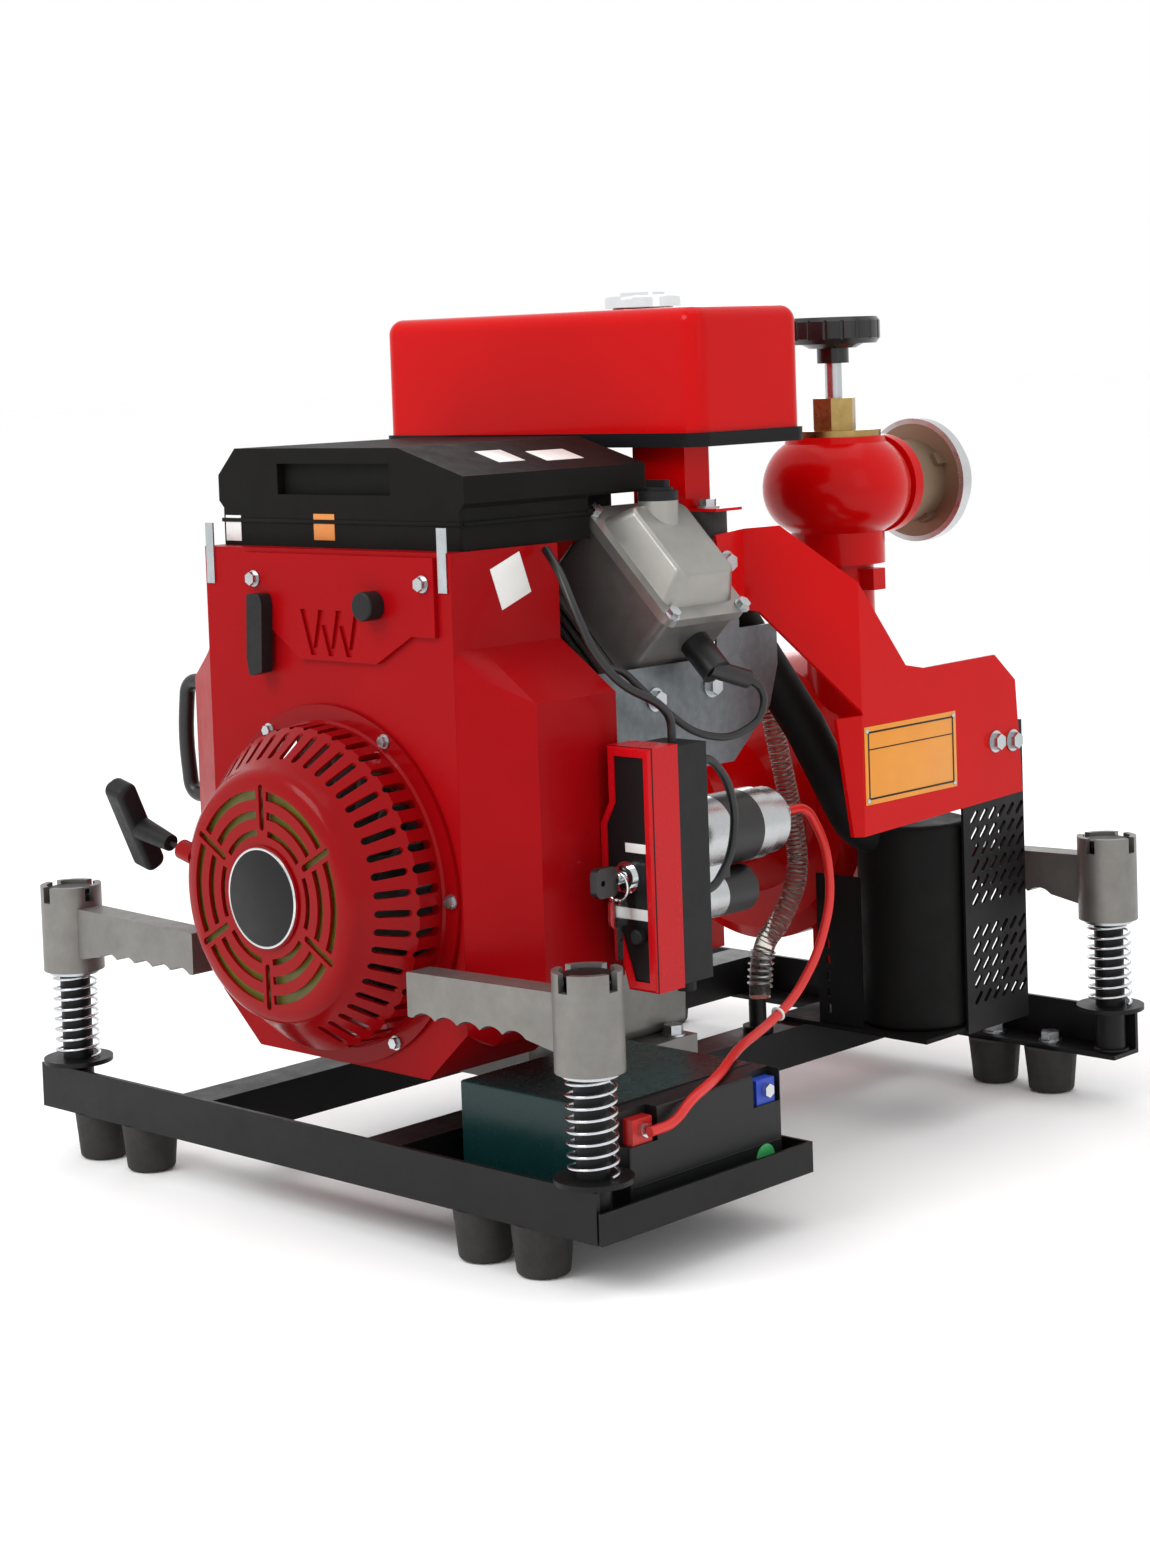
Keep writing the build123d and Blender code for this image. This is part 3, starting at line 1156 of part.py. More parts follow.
ARM_X = BAFFLE_X + SHEET                  # the arm bolts to the side sheet
BEND_Y = 60.0
ARM_BEND_Y = -2.0
with BuildPart() as bracket_panel:
    with BuildSketch(Plane.XY.offset(270)):
        with BuildLine():
            Polyline((PANEL_X, 300), (PANEL_X, BEND_Y), (ARM_X + SHEET, ARM_BEND_Y), (ARM_X + SHEET, -38),
                     (ARM_X, -38), (ARM_X, ARM_BEND_Y + 1), (PANEL_X - SHEET, BEND_Y + 1),
                     (PANEL_X - SHEET, 300), close=True)
        make_face()
    extrude(amount=300)
    with BuildSketch(Plane.YZ.offset(ARM_X - 5)):
        with BuildLine():
            Polyline((-38, TANK_MOUNT_LOW + 3), (18, 553), (124, 424), (150, 419), (257, 420), (288, 394),
                     (296, 290), (54, 281), (46, 384), (62, 387), (6, 479), (-12, 484), (-30, 500), close=True)
        make_face()
    extrude(amount=PANEL_X - ARM_X + 12, mode=Mode.INTERSECT)
save(bracket_panel.part, "bracket_panel")

# ---------------------------------------------------------------- battery
BATTERY_Z = FOOT_H + TRAY_T
TERMINALS = (BATTERY_Y0 + 17, BATTERY_Y1 - 17)
with BuildPart() as battery:
    add(box_between(BATTERY_X0, BATTERY_X1, BATTERY_Y0, BATTERY_Y1, BATTERY_Z, BATTERY_Z + BATTERY_H))
    fillet(battery.edges(), 2)
    for y in TERMINALS:
        add(box_between(BATTERY_X1 - 12, BATTERY_X1 + 1, y - 17.5, y + 15, BATTERY_Z + BATTERY_H - 26,
                        BATTERY_Z + BATTERY_H + 1), mode=Mode.SUBTRACT)
save(battery.part, "battery")

with BuildPart() as battery_terminals:
    for y in TERMINALS:
        low = BATTERY_Z + BATTERY_H - 26
        add(box_between(BATTERY_X1 - 12, BATTERY_X1 - 2, y - 11, y + 11, low, low + 20))
        with BuildSketch(Plane(origin=(BATTERY_X1 - 2, y, low + 11), z_dir=(1, 0, 0))):
            RegularPolygon(5, 6, major_radius=False)
        extrude(amount=5)
save(battery_terminals.part, "battery_terminals")


# ---------------------------------------------------------------- hoses and leads
def route(points, hose_r, share=0.45):
    """Round tube along straight runs and arcs as large as the runs allow."""
    vectors = [Vector(*p) for p in points]
    radii = []
    for a, b, c in zip(vectors, vectors[1:], vectors[2:]):
        short = min((b - a).length, (c - b).length)
        half_turn = math.radians((b - a).get_angle(c - b) / 2)
        radii.append(share * short / math.tan(half_turn))
    with BuildPart() as tube:
        with BuildLine():
            line = FilletPolyline(*points, radius=radii)
        with BuildSketch(Plane(origin=line @ 0, z_dir=line % 0)):
            Circle(hose_r)
        sweep(path=line)
    length = line.length
    print("cord r", hose_r, "length", round(length, 1), "radii", [round(r, 1) for r in radii],
          "volume ratio", round(tube.part.volume / (length * math.pi * hose_r ** 2), 4))
    return tube.part


HOSE_R = 10.0
CLEAR_HOSE = (
    (20, -89.7, 498), (20, -52, 498), (36, -12, 508), (72, 32, 518), (104, 68, 508), (120, 88, 462),
    (122, 104, 400), (121, 122, 336), (120, 140, 274), (118, 150, 220), (111, 130, 180), (104, 104, 156),
    (104, 104, 112.3),
)
clear_hose = route(CLEAR_HOSE, HOSE_R, 0.42)
save(clear_hose, "clear_hose")

LEAD_R = 3.2
PLUG_LEAD = (
    (232, -52, 430), (237, -34, 417), (236, -38, 394), (230, -70, 380), (222, -108, 388), (214, -150, 420),
    (203, -172, 446), (200, -191.5, 452),
)
CABLE_R = 3.6
KILL_WIRE = (
    (160, -214, 548), (184, -224, 532), (208, -232, 500), (226, -230, 466), (238, -212, 440), (249, -182, 424),
    (250, -168, 410), (250, -168, 390.3),
)
LOOP_CABLE = (
    (250, -143.7, 372), (250, -122, 372), (250, -100, 350), (250, -92, 318), (250, -100, 286), (250, -122, 264),
    (250, -143.7, 264),
)
BOOT_SPOT = (HEAD_X + SLOPE * (HEAD_T - 30), -80, HEAD_Z - SLOPE * (HEAD_T + 30.6))
with BuildPart() as plug_boot:
    with BuildSketch(Plane(origin=BOOT_SPOT, z_dir=(SLOPE, 0, -SLOPE))):
        Circle(13)
    extrude(amount=34)
    with BuildSketch(Plane(origin=(221, -86, 441), z_dir=(0.25, 0.85, -0.3))):
        Circle(8)
    extrude(amount=40)
BREATHER = (
    (LEFT_HOSE_TOP[0] - 0.3, LEFT_HOSE_TOP[1], LEFT_HOSE_TOP[2]),
    (LEFT_HOSE_TOP[0] - 26, LEFT_HOSE_TOP[1], LEFT_HOSE_TOP[2]),
    (LEFT_HOSE_TOP[0] - 30, LEFT_HOSE_TOP[1] - 2, LEFT_HOSE_TOP[2] - 50),
    (LEFT_HOSE_LOW[0] - 26, LEFT_HOSE_LOW[1], LEFT_HOSE_LOW[2]),
    (LEFT_HOSE_LOW[0] - 0.3, LEFT_HOSE_LOW[1], LEFT_HOSE_LOW[2]),
)
with BuildPart() as black_leads:
    add(plug_boot.part)
    add(route(BREATHER, 7.0))
    add(route(PLUG_LEAD, LEAD_R))
    add(route(KILL_WIRE, CABLE_R))
    add(route(LOOP_CABLE, CABLE_R))
save(black_leads.part, "black_leads")

RED_CABLE = (
    (STARTER_X + 10, STARTER_BACK + 36.3, STARTER_Z + 6), (STARTER_X + 10, 44, STARTER_Z + 6),
    (STARTER_X + 22, 54, 272), (238, 46, 228), (244, 18, 184), (248, -22, 152), (252, -66, 137),
    (264, -110, 132.3), (286, -150, 132.3), (308, -186, 132.3), (325, -220, 132.3), (332.4, -252, 127),
    (332.4, -272, 113), (332.4, -300, 112.5),
)
red_cable = route(RED_CABLE, 4.0)
save(red_cable, "red_cable")

# ---------------------------------------------------------------- fasteners
m6 = hex_bolt(10, 5, 7, 1.2)
m8 = hex_bolt(13, 6, 10, 1.5)
m10 = hex_bolt(16, 8, 11, 2)
with BuildPart() as zinc_fasteners:
    with Locations(*[Location((x, s * FOOT_Y, RAIL_LOW)) for x in FOOT_XS for s in (-1, 1)]):
        add(m10)
    head_face = HEAD_PLANE.offset(FLANGE_HIGH)
    corner_t = HEAD_T - 1
    corner_y = HEAD_Y - 4
    with Locations(head_face):
        with GridLocations(2 * corner_t, 2 * corner_y, 2, 2):
            add(m6)
    left_face = Plane(origin=(-HEAD_X, CYL_Y, HEAD_Z), x_dir=(-SLOPE, 0, -SLOPE), z_dir=(-SLOPE, 0, SLOPE))
    with Locations(left_face.offset(FLANGE_HIGH)):
        with GridLocations(2 * corner_t, 2 * corner_y, 2, 2):
            add(m6)
    for side in (-1, 1):
        seats = [seat_at(side * (BAFFLE_X + SHEET), y, z, side, 0, 0) for y, z in BAFFLE_BOLTS]
        with Locations(*seats):
            add(m8)
    with Locations(seat_at(ARM_X + SHEET, -26, 524, 1, 0, 0), seat_at(PANEL_X, 254, 341, 1, 0, 0),
                   seat_at(PANEL_X, 281, 339, 1, 0, 0)):
        add(m8)
    # round the recoil cover
    with Locations(seat_at(0, HOOD_FRONT - 4, CRANK_Z, 0, -1, 0)):
        with PolarLocations((COVER_R + DRUM_R + 3) / 2, 6, start_angle=30):
            add(hex_bolt(8, 4, 6, 1))
    with Locations(seat_at(-83, HOOD_FRONT - 4, 526, 0, -1, 0), seat_at(124, HOOD_FRONT - 4, 527, 0, -1, 0)):
        add(m6)
    # engine feet on the rails
    with Locations(*[Location((x, y, 101)) for x in (-132, 106) for y in (-150, -18)]):
        add(m10)
    # tank feet
    with Locations(*[Location((x, y, LEG_FOOT_Z + SHEET)) for x, y in TANK_MOUNTS]):
        add(m8)
    # suction cover
    with Locations(seat_at(0, PUMP_BACK + 13, CRANK_Z, 0, 1, 0)):
        with PolarLocations(114, 8, start_angle=22.5):
            add(m8)
    # latch clips of the air filter, hooked on the housing
    for x in (-144, 144):
        add(box_between(x - 5, x + 5, HOOD_FRONT - 1.5, HOOD_FRONT, 520, FILTER_LOW + 20))
save(zinc_fasteners.part, "zinc_fasteners")
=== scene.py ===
import math

import bmesh
import bpy
from mathutils import Matrix, Vector


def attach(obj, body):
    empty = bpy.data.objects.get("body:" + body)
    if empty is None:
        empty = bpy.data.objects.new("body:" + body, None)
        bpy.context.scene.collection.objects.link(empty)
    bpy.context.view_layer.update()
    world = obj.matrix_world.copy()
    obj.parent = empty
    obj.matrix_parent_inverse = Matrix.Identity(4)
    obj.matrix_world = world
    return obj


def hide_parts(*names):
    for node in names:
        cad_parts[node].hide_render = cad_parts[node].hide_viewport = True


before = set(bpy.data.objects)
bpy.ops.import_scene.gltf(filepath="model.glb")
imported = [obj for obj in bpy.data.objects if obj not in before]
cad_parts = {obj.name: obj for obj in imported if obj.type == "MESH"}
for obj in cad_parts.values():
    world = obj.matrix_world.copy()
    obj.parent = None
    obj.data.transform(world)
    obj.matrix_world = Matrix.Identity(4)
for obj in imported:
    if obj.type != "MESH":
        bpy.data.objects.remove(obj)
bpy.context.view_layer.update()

# ------------------------------------------------------------------ studio
# A seamless white floor and white surroundings, one large softbox over the
# left shoulder, a weak fill on the right, one above and a strip from behind
# that draws the edges of the sheet metal.
camera_data = bpy.data.cameras.new("studio_camera")
camera_data.sensor_fit = "AUTO"
camera_data.sensor_width = 36.0
camera_data.lens = 67.49
camera_data.shift_y = -0.15
camera_data.clip_start = 0.05
camera_data.clip_end = 60.0
camera = bpy.data.objects.new("studio_camera", camera_data)
bpy.context.collection.objects.link(camera)
CAMERA_PLACE = Vector((1.8092, -1.9059, 0.7058))
CAMERA_RIGHT = Vector((0.72428, 0.68863, -0.03472))
CAMERA_UP = Vector((-0.01944, 0.07073, 0.99731))
CAMERA_BACK = Vector((0.68923, -0.72166, 0.06462))
camera_turn = Matrix((CAMERA_RIGHT, CAMERA_UP, CAMERA_BACK)).transposed().to_4x4()
camera.matrix_world = Matrix.Translation(CAMERA_PLACE) @ camera_turn
bpy.context.scene.camera = camera
bpy.context.scene.view_settings.view_transform = "Standard"


def softbox(name, place, aim, size, power):
    """Rectangular soft light that looks at a point, sized in metres, its power in watts."""
    light = bpy.data.lights.new(name, "AREA")
    light.shape = "RECTANGLE"
    light.size, light.size_y = size
    light.energy = power
    lamp = bpy.data.objects.new(name, light)
    bpy.context.collection.objects.link(lamp)
    lamp.location = place
    lamp.rotation_mode = "QUATERNION"
    lamp.rotation_quaternion = (Vector(aim) - Vector(place)).to_track_quat("-Z", "Y")


softbox("key_softbox", (-0.6, -2.6, 2.6), (0, 0, 0.35), (1.6, 1.6), 50)
softbox("fill_softbox", (3.2, -0.4, 1.6), (0, 0, 0.35), (1.2, 2.0), 4)
softbox("top_softbox", (0.2, 0.3, 3.0), (0, 0, 0.3), (2.2, 2.2), 12)
softbox("rim_strip", (-1.8, 2.4, 1.8), (0, 0, 0.4), (0.6, 2.2), 10)

world = bpy.data.worlds.new("studio_air")
bpy.context.scene.world = world
world.use_nodes = True
world.node_tree.nodes["Background"].inputs["Color"].default_value = (1, 1, 1, 1)
world.node_tree.nodes["Background"].inputs["Strength"].default_value = 1.0


def linear_hex(code):
    """sRGB hex code as linear red, green, blue, alpha."""
    values = [int(code[i:i + 2], 16) / 255 for i in (0, 2, 4)]
    linear = [v / 12.92 if v <= 0.04045 else ((v + 0.055) / 1.055) ** 2.4 for v in values]
    return (*linear, 1.0)


def add_node(tree, kind, settings=None, sockets=None):
    """Adds a node, with its settings and with sockets set or linked by name or number."""
    node = tree.nodes.new(kind)
    for key, value in (settings or {}).items():
        setattr(node, key, value)
    for key, value in (sockets or {}).items():
        if isinstance(value, bpy.types.NodeSocket):
            tree.links.new(value, node.inputs[key])
        else:
            node.inputs[key].default_value = value
    return node


def surface(name, colour, second, metallic, roughness, spread, grain_mm, depth_mm,
            mottle_mm=40.0, coat=0.0, ior=1.5, detail=4.0, shine=0.5):
    """Base of every finish: two-tone mottle, uneven roughness and a grain bump of a real size."""
    material = bpy.data.materials.new(name)
    material.use_nodes = True
    tree = material.node_tree
    shader = tree.nodes["Principled BSDF"]
    place = add_node(tree, "ShaderNodeTexCoord").outputs["Object"]
    mottle = add_node(tree, "ShaderNodeTexNoise", None,
                      {"Vector": place, "Scale": 1000 / mottle_mm, "Detail": detail, "Roughness": 0.6})
    tone = add_node(tree, "ShaderNodeMix", {"data_type": "RGBA"},
                    {"Factor": mottle.outputs["Fac"], 6: linear_hex(colour), 7: linear_hex(second)})
    handling = add_node(tree, "ShaderNodeTexNoise", None,
                        {"Vector": place, "Scale": 1000 / (mottle_mm * 0.4), "Detail": 6.0, "Roughness": 0.7})
    gloss = add_node(tree, "ShaderNodeMapRange", None,
                     {"Value": handling.outputs["Fac"], 1: 0.3, 2: 0.7, 3: roughness - spread / 2,
                      4: roughness + spread / 2})
    grain = add_node(tree, "ShaderNodeTexNoise", None,
                     {"Vector": place, "Scale": 1000 / grain_mm, "Detail": 3.0, "Roughness": 0.6})
    relief = add_node(tree, "ShaderNodeBump", None,
                      {"Height": grain.outputs["Fac"], "Strength": 1.0, "Distance": depth_mm / 1000})
    tree.links.new(tone.outputs[2], shader.inputs["Base Color"])
    tree.links.new(gloss.outputs["Result"], shader.inputs["Roughness"])
    tree.links.new(relief.outputs["Normal"], shader.inputs["Normal"])
    shader.inputs["Metallic"].default_value = metallic
    shader.inputs["Coat Weight"].default_value = coat
    shader.inputs["Coat Roughness"].default_value = 0.05
    shader.inputs["Specular IOR Level"].default_value = shine
    if metallic < 0.5:
        shader.inputs["IOR"].default_value = ior
    return material


def axis_band(tree, axis, low, high):
    """1 between two planes across X, Y or Z, in millimetres, else 0."""
    place = add_node(tree, "ShaderNodeTexCoord").outputs["Object"]
    split = add_node(tree, "ShaderNodeSeparateXYZ", None, {0: place}).outputs[axis]
    over = add_node(tree, "ShaderNodeMath", {"operation": "GREATER_THAN"}, {0: split, 1: low / 1000})
    under = add_node(tree, "ShaderNodeMath", {"operation": "LESS_THAN"}, {0: split, 1: high / 1000})
    return add_node(tree, "ShaderNodeMath", {"operation": "MULTIPLY"},
                    {0: over.outputs[0], 1: under.outputs[0]}).outputs[0]


def repaint(material, mask, colour, metallic=None, roughness=None):
    """Lays a second colour, and if given its metal and roughness, where the mask is 1."""
    tree = material.node_tree
    shader = tree.nodes["Principled BSDF"]
    under = shader.inputs["Base Color"].links[0].from_socket
    mix = add_node(tree, "ShaderNodeMix", {"data_type": "RGBA"}, {"Factor": mask, 6: under, 7: linear_hex(colour)})
    tree.links.new(mix.outputs[2], shader.inputs["Base Color"])
    if metallic is not None:
        blend = add_node(tree, "ShaderNodeMix", None,
                         {"Factor": mask, 2: shader.inputs["Metallic"].default_value, 3: metallic})
        tree.links.new(blend.outputs[0], shader.inputs["Metallic"])
    if roughness is not None:
        old = shader.inputs["Roughness"].links[0].from_socket
        blend = add_node(tree, "ShaderNodeMix", None, {"Factor": mask, 2: old, 3: roughness})
        tree.links.new(blend.outputs[0], shader.inputs["Roughness"])


def dress(material, *nodes):
    """Gives CAD nodes their finish."""
    for name in nodes:
        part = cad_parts[name]
        if not part.material_slots:
            part.data.materials.append(material)
        for slot in part.material_slots:
            slot.material = material


# Paper sweep under the pump, just below its feet and wide enough to have no
# edge in any view.
backdrop = bpy.data.materials.new("matte_paper_sweep")
backdrop.use_nodes = True
paper = backdrop.node_tree.nodes["Principled BSDF"]
paper.inputs["Base Color"].default_value = linear_hex("ffffff")
paper.inputs["Roughness"].default_value = 0.9
bpy.ops.object.select_all(action="DESELECT")
FLOOR_SIZE, FLOOR_DROP = 90, 0.0006
bpy.ops.mesh.primitive_plane_add(size=FLOOR_SIZE, location=(0, 0, -FLOOR_DROP))
floor = bpy.context.object
floor.name = "studio_floor"
floor.data.materials.append(backdrop)


# ------------------------------------------------------------------ frame
# Mild steel angle and pipe, welded, then black powder coated: a satin black
# with a faint orange peel, dust in the corners and dull rubbed patches.
powder = surface("black_powder_coated_steel", "0a0a0b", "141415", 0.0, 0.42, 0.16, 1.6, 0.05, 55,
                 shine=0.22)
dress(powder, "front_crossbar", "rear_crossbar", "left_rail", "right_rail", "battery_tray", "posts", "heat_guard")
rubber = surface("moulded_natural_rubber", "121110", "2a2623", 0.0, 0.72, 0.2, 0.8, 0.04, 30)
dress(rubber, "rubber_mounts")


def new_piece(name, material, body="unit", smooth=35):
    """Finishes the active object: applies modifiers and place, then gives name, finish and body."""
    piece = bpy.context.object
    piece.name = name
    for modifier in list(piece.modifiers):
        bpy.ops.object.modifier_apply(modifier=modifier.name)
    bpy.ops.object.transform_apply(location=True, rotation=True, scale=True)
    if smooth:
        bpy.ops.object.shade_smooth_by_angle(angle=math.radians(smooth))
    piece.data.materials.clear()
    piece.data.materials.append(material)
    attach(piece, body)
    return piece


def softened(width, segments=2):
    """Bevel on the sharp edges of the active object."""
    bevel = bpy.context.object.modifiers.new("edge", "BEVEL")
    bevel.width = width
    bevel.segments = segments
    bevel.limit_method = "ANGLE"
    bevel.angle_limit = math.radians(40)


def slab(x, y, z, width, depth, height, edge=0.0006, turned=(0, 0, 0)):
    """Sheet or block with eased edges, sized along X, Y, Z in metres, left active."""
    bpy.ops.object.select_all(action="DESELECT")
    bpy.ops.mesh.primitive_cube_add(size=1, location=(x, y, z), rotation=turned)
    bpy.context.object.scale = (width, depth, height)
    bpy.ops.object.transform_apply(location=False, rotation=False, scale=True)
    softened(edge)


def facing(nx, ny, nz):
    """Rotation that stands local Z along a direction."""
    return Vector((nx, ny, nz)).to_track_quat("Z", "Y").to_euler()


def turned_ring(place, direction, major, minor, around=48, section=10):
    """Round wire or O-shaped collar left active."""
    bpy.ops.object.select_all(action="DESELECT")
    bpy.ops.mesh.primitive_torus_add(location=place, rotation=facing(*direction), major_radius=major,
                                     minor_radius=minor, major_segments=around, minor_segments=section)


# Fillet welds where each post stands in its crossbar: a rounded bead under
# the same black coat.
WELD_Z, WELD_RING_R, WELD_BEAD_R = 0.0462, 0.0146, 0.0022
for post_x in (-0.320, 0.320):
    for post_y in (-0.350, 0.350):
        turned_ring((post_x, post_y, WELD_Z), (0, 0, 1), WELD_RING_R, WELD_BEAD_R, 40, 8)
        new_piece("post_weld_%s%s" % ("r" if post_x > 0 else "l", "b" if post_y > 0 else "f"), powder)

# ------------------------------------------------------------------ lift handles
# Sand-cast aluminium tube and finger grip, shot blasted and left bare: light
# grey, pebbled, a little darker where gloves have held it.
blasted = surface("shot_blasted_cast_aluminium", "6e6c68", "8d8b87", 0.8, 0.44, 0.16, 1.6, 0.14, 26, shine=0.3)
dress(blasted, "handle_front_left", "handle_front_right", "handle_rear_left", "handle_rear_right")
plated_spring = surface("nickel_plated_spring_wire", "b9bcc0", "dcdfe2", 1.0, 0.22, 0.14, 0.9, 0.02, 12)
dress(plated_spring, "spring_front_left", "spring_front_right", "spring_rear_left", "spring_rear_right")
zinc = surface("zinc_plated_steel", "a8adb0", "cbd0d2", 1.0, 0.3, 0.16, 1.2, 0.03, 14)
dress(zinc, "spring_seat_front_left", "spring_seat_front_right", "spring_seat_rear_left",
      "spring_seat_rear_right", "zinc_fasteners")

# ------------------------------------------------------------------ engine block
# Die-cast aluminium crankcase, cylinders and rocker covers: the covers are
# polished on their corners and warm grey on their sides.
casting = surface("die_cast_aluminium", "6f6e6b", "8f8e8a", 0.75, 0.42, 0.16, 1.1, 0.07, 32)
dress(casting, "crankcase", "cylinders", "carburettor", "flywheel_fan", "pump_impeller")
cover_casting = surface("tumbled_aluminium_casting", "86847f", "a6a49f", 0.7, 0.36, 0.14, 1.2, 0.06, 45)
dress(cover_casting, "rocker_covers")
galvanised = surface("galvanised_sheet", "5f666a", "82888b", 0.85, 0.4, 0.16, 7.0, 0.02, 9, detail=2.0)
dress(galvanised, "side_baffles")
shaft_steel = surface("ground_shaft_steel", "8f9093", "b4b5b8", 1.0, 0.25, 0.1, 0.8, 0.02, 20)
dress(shaft_steel, "crankshaft")

# ------------------------------------------------------------------ blower housing
# Pressed steel hood in satin red enamel. The recoil cover is a darker baked
# red, with an aluminium fan and a yellow-green screen seen through its slots.
hood_red = surface("satin_red_enamel", "8c040a", "9a070d", 0.0, 0.34, 0.12, 1.8, 0.03, 70,
                   coat=0.02, shine=0.06)
dress(hood_red, "fan_shroud")
recoil_red = surface("baked_red_enamel", "7e0308", "8c060b", 0.0, 0.2, 0.1, 1.6, 0.03, 60,
                     coat=0.08, shine=0.08)
dress(recoil_red, "recoil_cover")
black_nylon = surface("black_glass_filled_nylon", "0c0c0d", "19191b", 0.0, 0.5, 0.2, 0.9, 0.05, 22,
                      shine=0.25)
dress(black_nylon, "choke_knob", "throttle_lever", "recoil_pulley", "pull_handle", "oil_cap", "breaker_button")

# Screen of yellow-green nylon behind the slots of the recoil cover, a thin
# flat ring fixed to the cover's inside.
screen_nylon = surface("olive_nylon_screen", "4a4a14", "77731f", 0.0, 0.5, 0.15, 2.0, 0.05, 18)
bpy.ops.object.select_all(action="DESELECT")
CRANK_Z = 0.273
SCREEN_Y, SCREEN_R = -0.3865, 0.094
bpy.ops.mesh.primitive_circle_add(vertices=72, radius=SCREEN_R, fill_type="NOTHING",
                                  location=(0, SCREEN_Y, CRANK_Z), rotation=(math.pi / 2, 0, 0))
bpy.ops.object.mode_set(mode="EDIT")
bpy.ops.mesh.select_all(action="SELECT")
bpy.ops.mesh.extrude_edges_move(TRANSFORM_OT_translate={"value": (0, 0, 0)})
bpy.ops.transform.resize(value=(0.50, 0.50, 0.50), center_override=(0, SCREEN_Y, CRANK_Z))
bpy.ops.object.mode_set(mode="OBJECT")
solid = bpy.context.object.modifiers.new("wall", "SOLIDIFY")
solid.thickness = 0.0009
new_piece("recoil_screen", screen_nylon)

# Three rings of arched slots pierce the cover's face between its radial
# slots; they are cut into a copy of the cover, which stands for it.
bpy.ops.object.select_all(action="DESELECT")
cover = bpy.data.objects.new("recoil_cover_pierced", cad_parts["recoil_cover"].data.copy())
bpy.context.collection.objects.link(cover)
cover.select_set(True)
bpy.context.view_layer.objects.active = cover
bpy.ops.mesh.customdata_custom_splitnormals_clear()
bpy.ops.object.mode_set(mode="EDIT")
bpy.ops.mesh.select_all(action="SELECT")
bpy.ops.mesh.remove_doubles(threshold=0.00001)
bpy.ops.object.mode_set(mode="OBJECT")
COVER_AXIS = Vector((0, 0, CRANK_Z))
SECTOR = math.radians(60)
PUNCH_Y, PUNCH_DEEP = -0.3915, 0.013
SLOT_END_LAND = 0.0065        # metal from a radial slot's middle to an arched slot's end
for ring_r, slot_wide in ((0.0530, 0.0050), (0.0680, 0.0065), (0.0840, 0.0075)):
    reach = SECTOR / 2 - SLOT_END_LAND / ring_r
    for sector in range(6):
        turn_to = SECTOR * sector + math.radians(60)
        bpy.ops.object.select_all(action="DESELECT")
        bpy.ops.mesh.primitive_plane_add(size=1, location=(ring_r, PUNCH_Y, 0))
        punch = bpy.context.object
        punch.scale = (slot_wide, PUNCH_DEEP, 1)
        bpy.ops.object.transform_apply(location=True, rotation=False, scale=True)
        punch.rotation_euler = (0, -turn_to + reach, 0)
        punch.location = COVER_AXIS
        bpy.ops.object.transform_apply(location=True, rotation=True, scale=True)
        bpy.ops.object.mode_set(mode="EDIT")
        bpy.ops.mesh.select_all(action="SELECT")
        bpy.ops.mesh.spin(steps=12, angle=2 * reach, center=COVER_AXIS, axis=(0, 1, 0))
        bpy.ops.mesh.select_all(action="SELECT")
        bpy.ops.mesh.normals_make_consistent(inside=False)
        bpy.ops.object.mode_set(mode="OBJECT")
        bpy.ops.object.select_all(action="DESELECT")
        cover.select_set(True)
        bpy.context.view_layer.objects.active = cover
        cut = cover.modifiers.new("slot", "BOOLEAN")
        cut.operation = "DIFFERENCE"
        cut.object = punch
        bpy.ops.object.modifier_apply(modifier=cut.name)
        bpy.data.objects.remove(punch)
new_piece("recoil_cover_pierced", recoil_red)
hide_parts("recoil_cover")

# Round label plate on the recoil cover: black anodised disc with a bright
# rolled rim, left bare.
label_black = surface("black_anodised_label_plate", "0a0a0b", "131314", 0.0, 0.42, 0.1, 1.0, 0.01, 25,
                      shine=0.25)
bright_rim = surface("polished_aluminium_rim", "c2c4c6", "dddfe0", 1.0, 0.18, 0.1, 0.8, 0.01, 12)
bpy.ops.object.select_all(action="DESELECT")
LABEL_Y, LABEL_R = -0.3948, 0.0405
bpy.ops.mesh.primitive_cylinder_add(vertices=96, radius=LABEL_R, depth=0.0016, location=(0, LABEL_Y, CRANK_Z),
                                    rotation=(math.pi / 2, 0, 0))
softened(0.0005)
new_piece("recoil_label_disc", label_black)
turned_ring((0, LABEL_Y, CRANK_Z), (0, 1, 0), LABEL_R, 0.0012, 96, 8)
new_piece("recoil_label_rim", bright_rim)

# ------------------------------------------------------------------ air filter
# Black ABS lid with a fine moulded grain, a raised lip round its foot and
# two blank paper labels stuck on its front wall.
black_abs = surface("grained_black_abs", "0e0d0c", "161514", 0.0, 0.55, 0.14, 1.0, 0.07, 60, shine=0.08)
dress(black_abs, "air_filter_cover")
slab(0.0, -0.2975, 0.5735, 0.296, 0.0022, 0.0035, 0.0008)
new_piece("filter_lid_bead", black_abs)
slab(0.1493, -0.2200, 0.5735, 0.0022, 0.150, 0.0035, 0.0008)
new_piece("filter_lid_bead_right", black_abs)
label_paper = surface("glossy_label_paper", "d8d8d4", "e9e9e6", 0.0, 0.35, 0.1, 1.5, 0.01, 20)
slab(-0.1335, -0.29735, 0.5665, 0.020, 0.0005, 0.022, 0.0001)
new_piece("filter_blank_label", label_paper)
orange_paper = surface("orange_label_paper", "c2732c", "d6873c", 0.0, 0.4, 0.1, 1.5, 0.01, 15)
slab(-0.016, -0.29735, 0.5690, 0.026, 0.0005, 0.022, 0.0001)
new_piece("filter_orange_label", orange_paper)

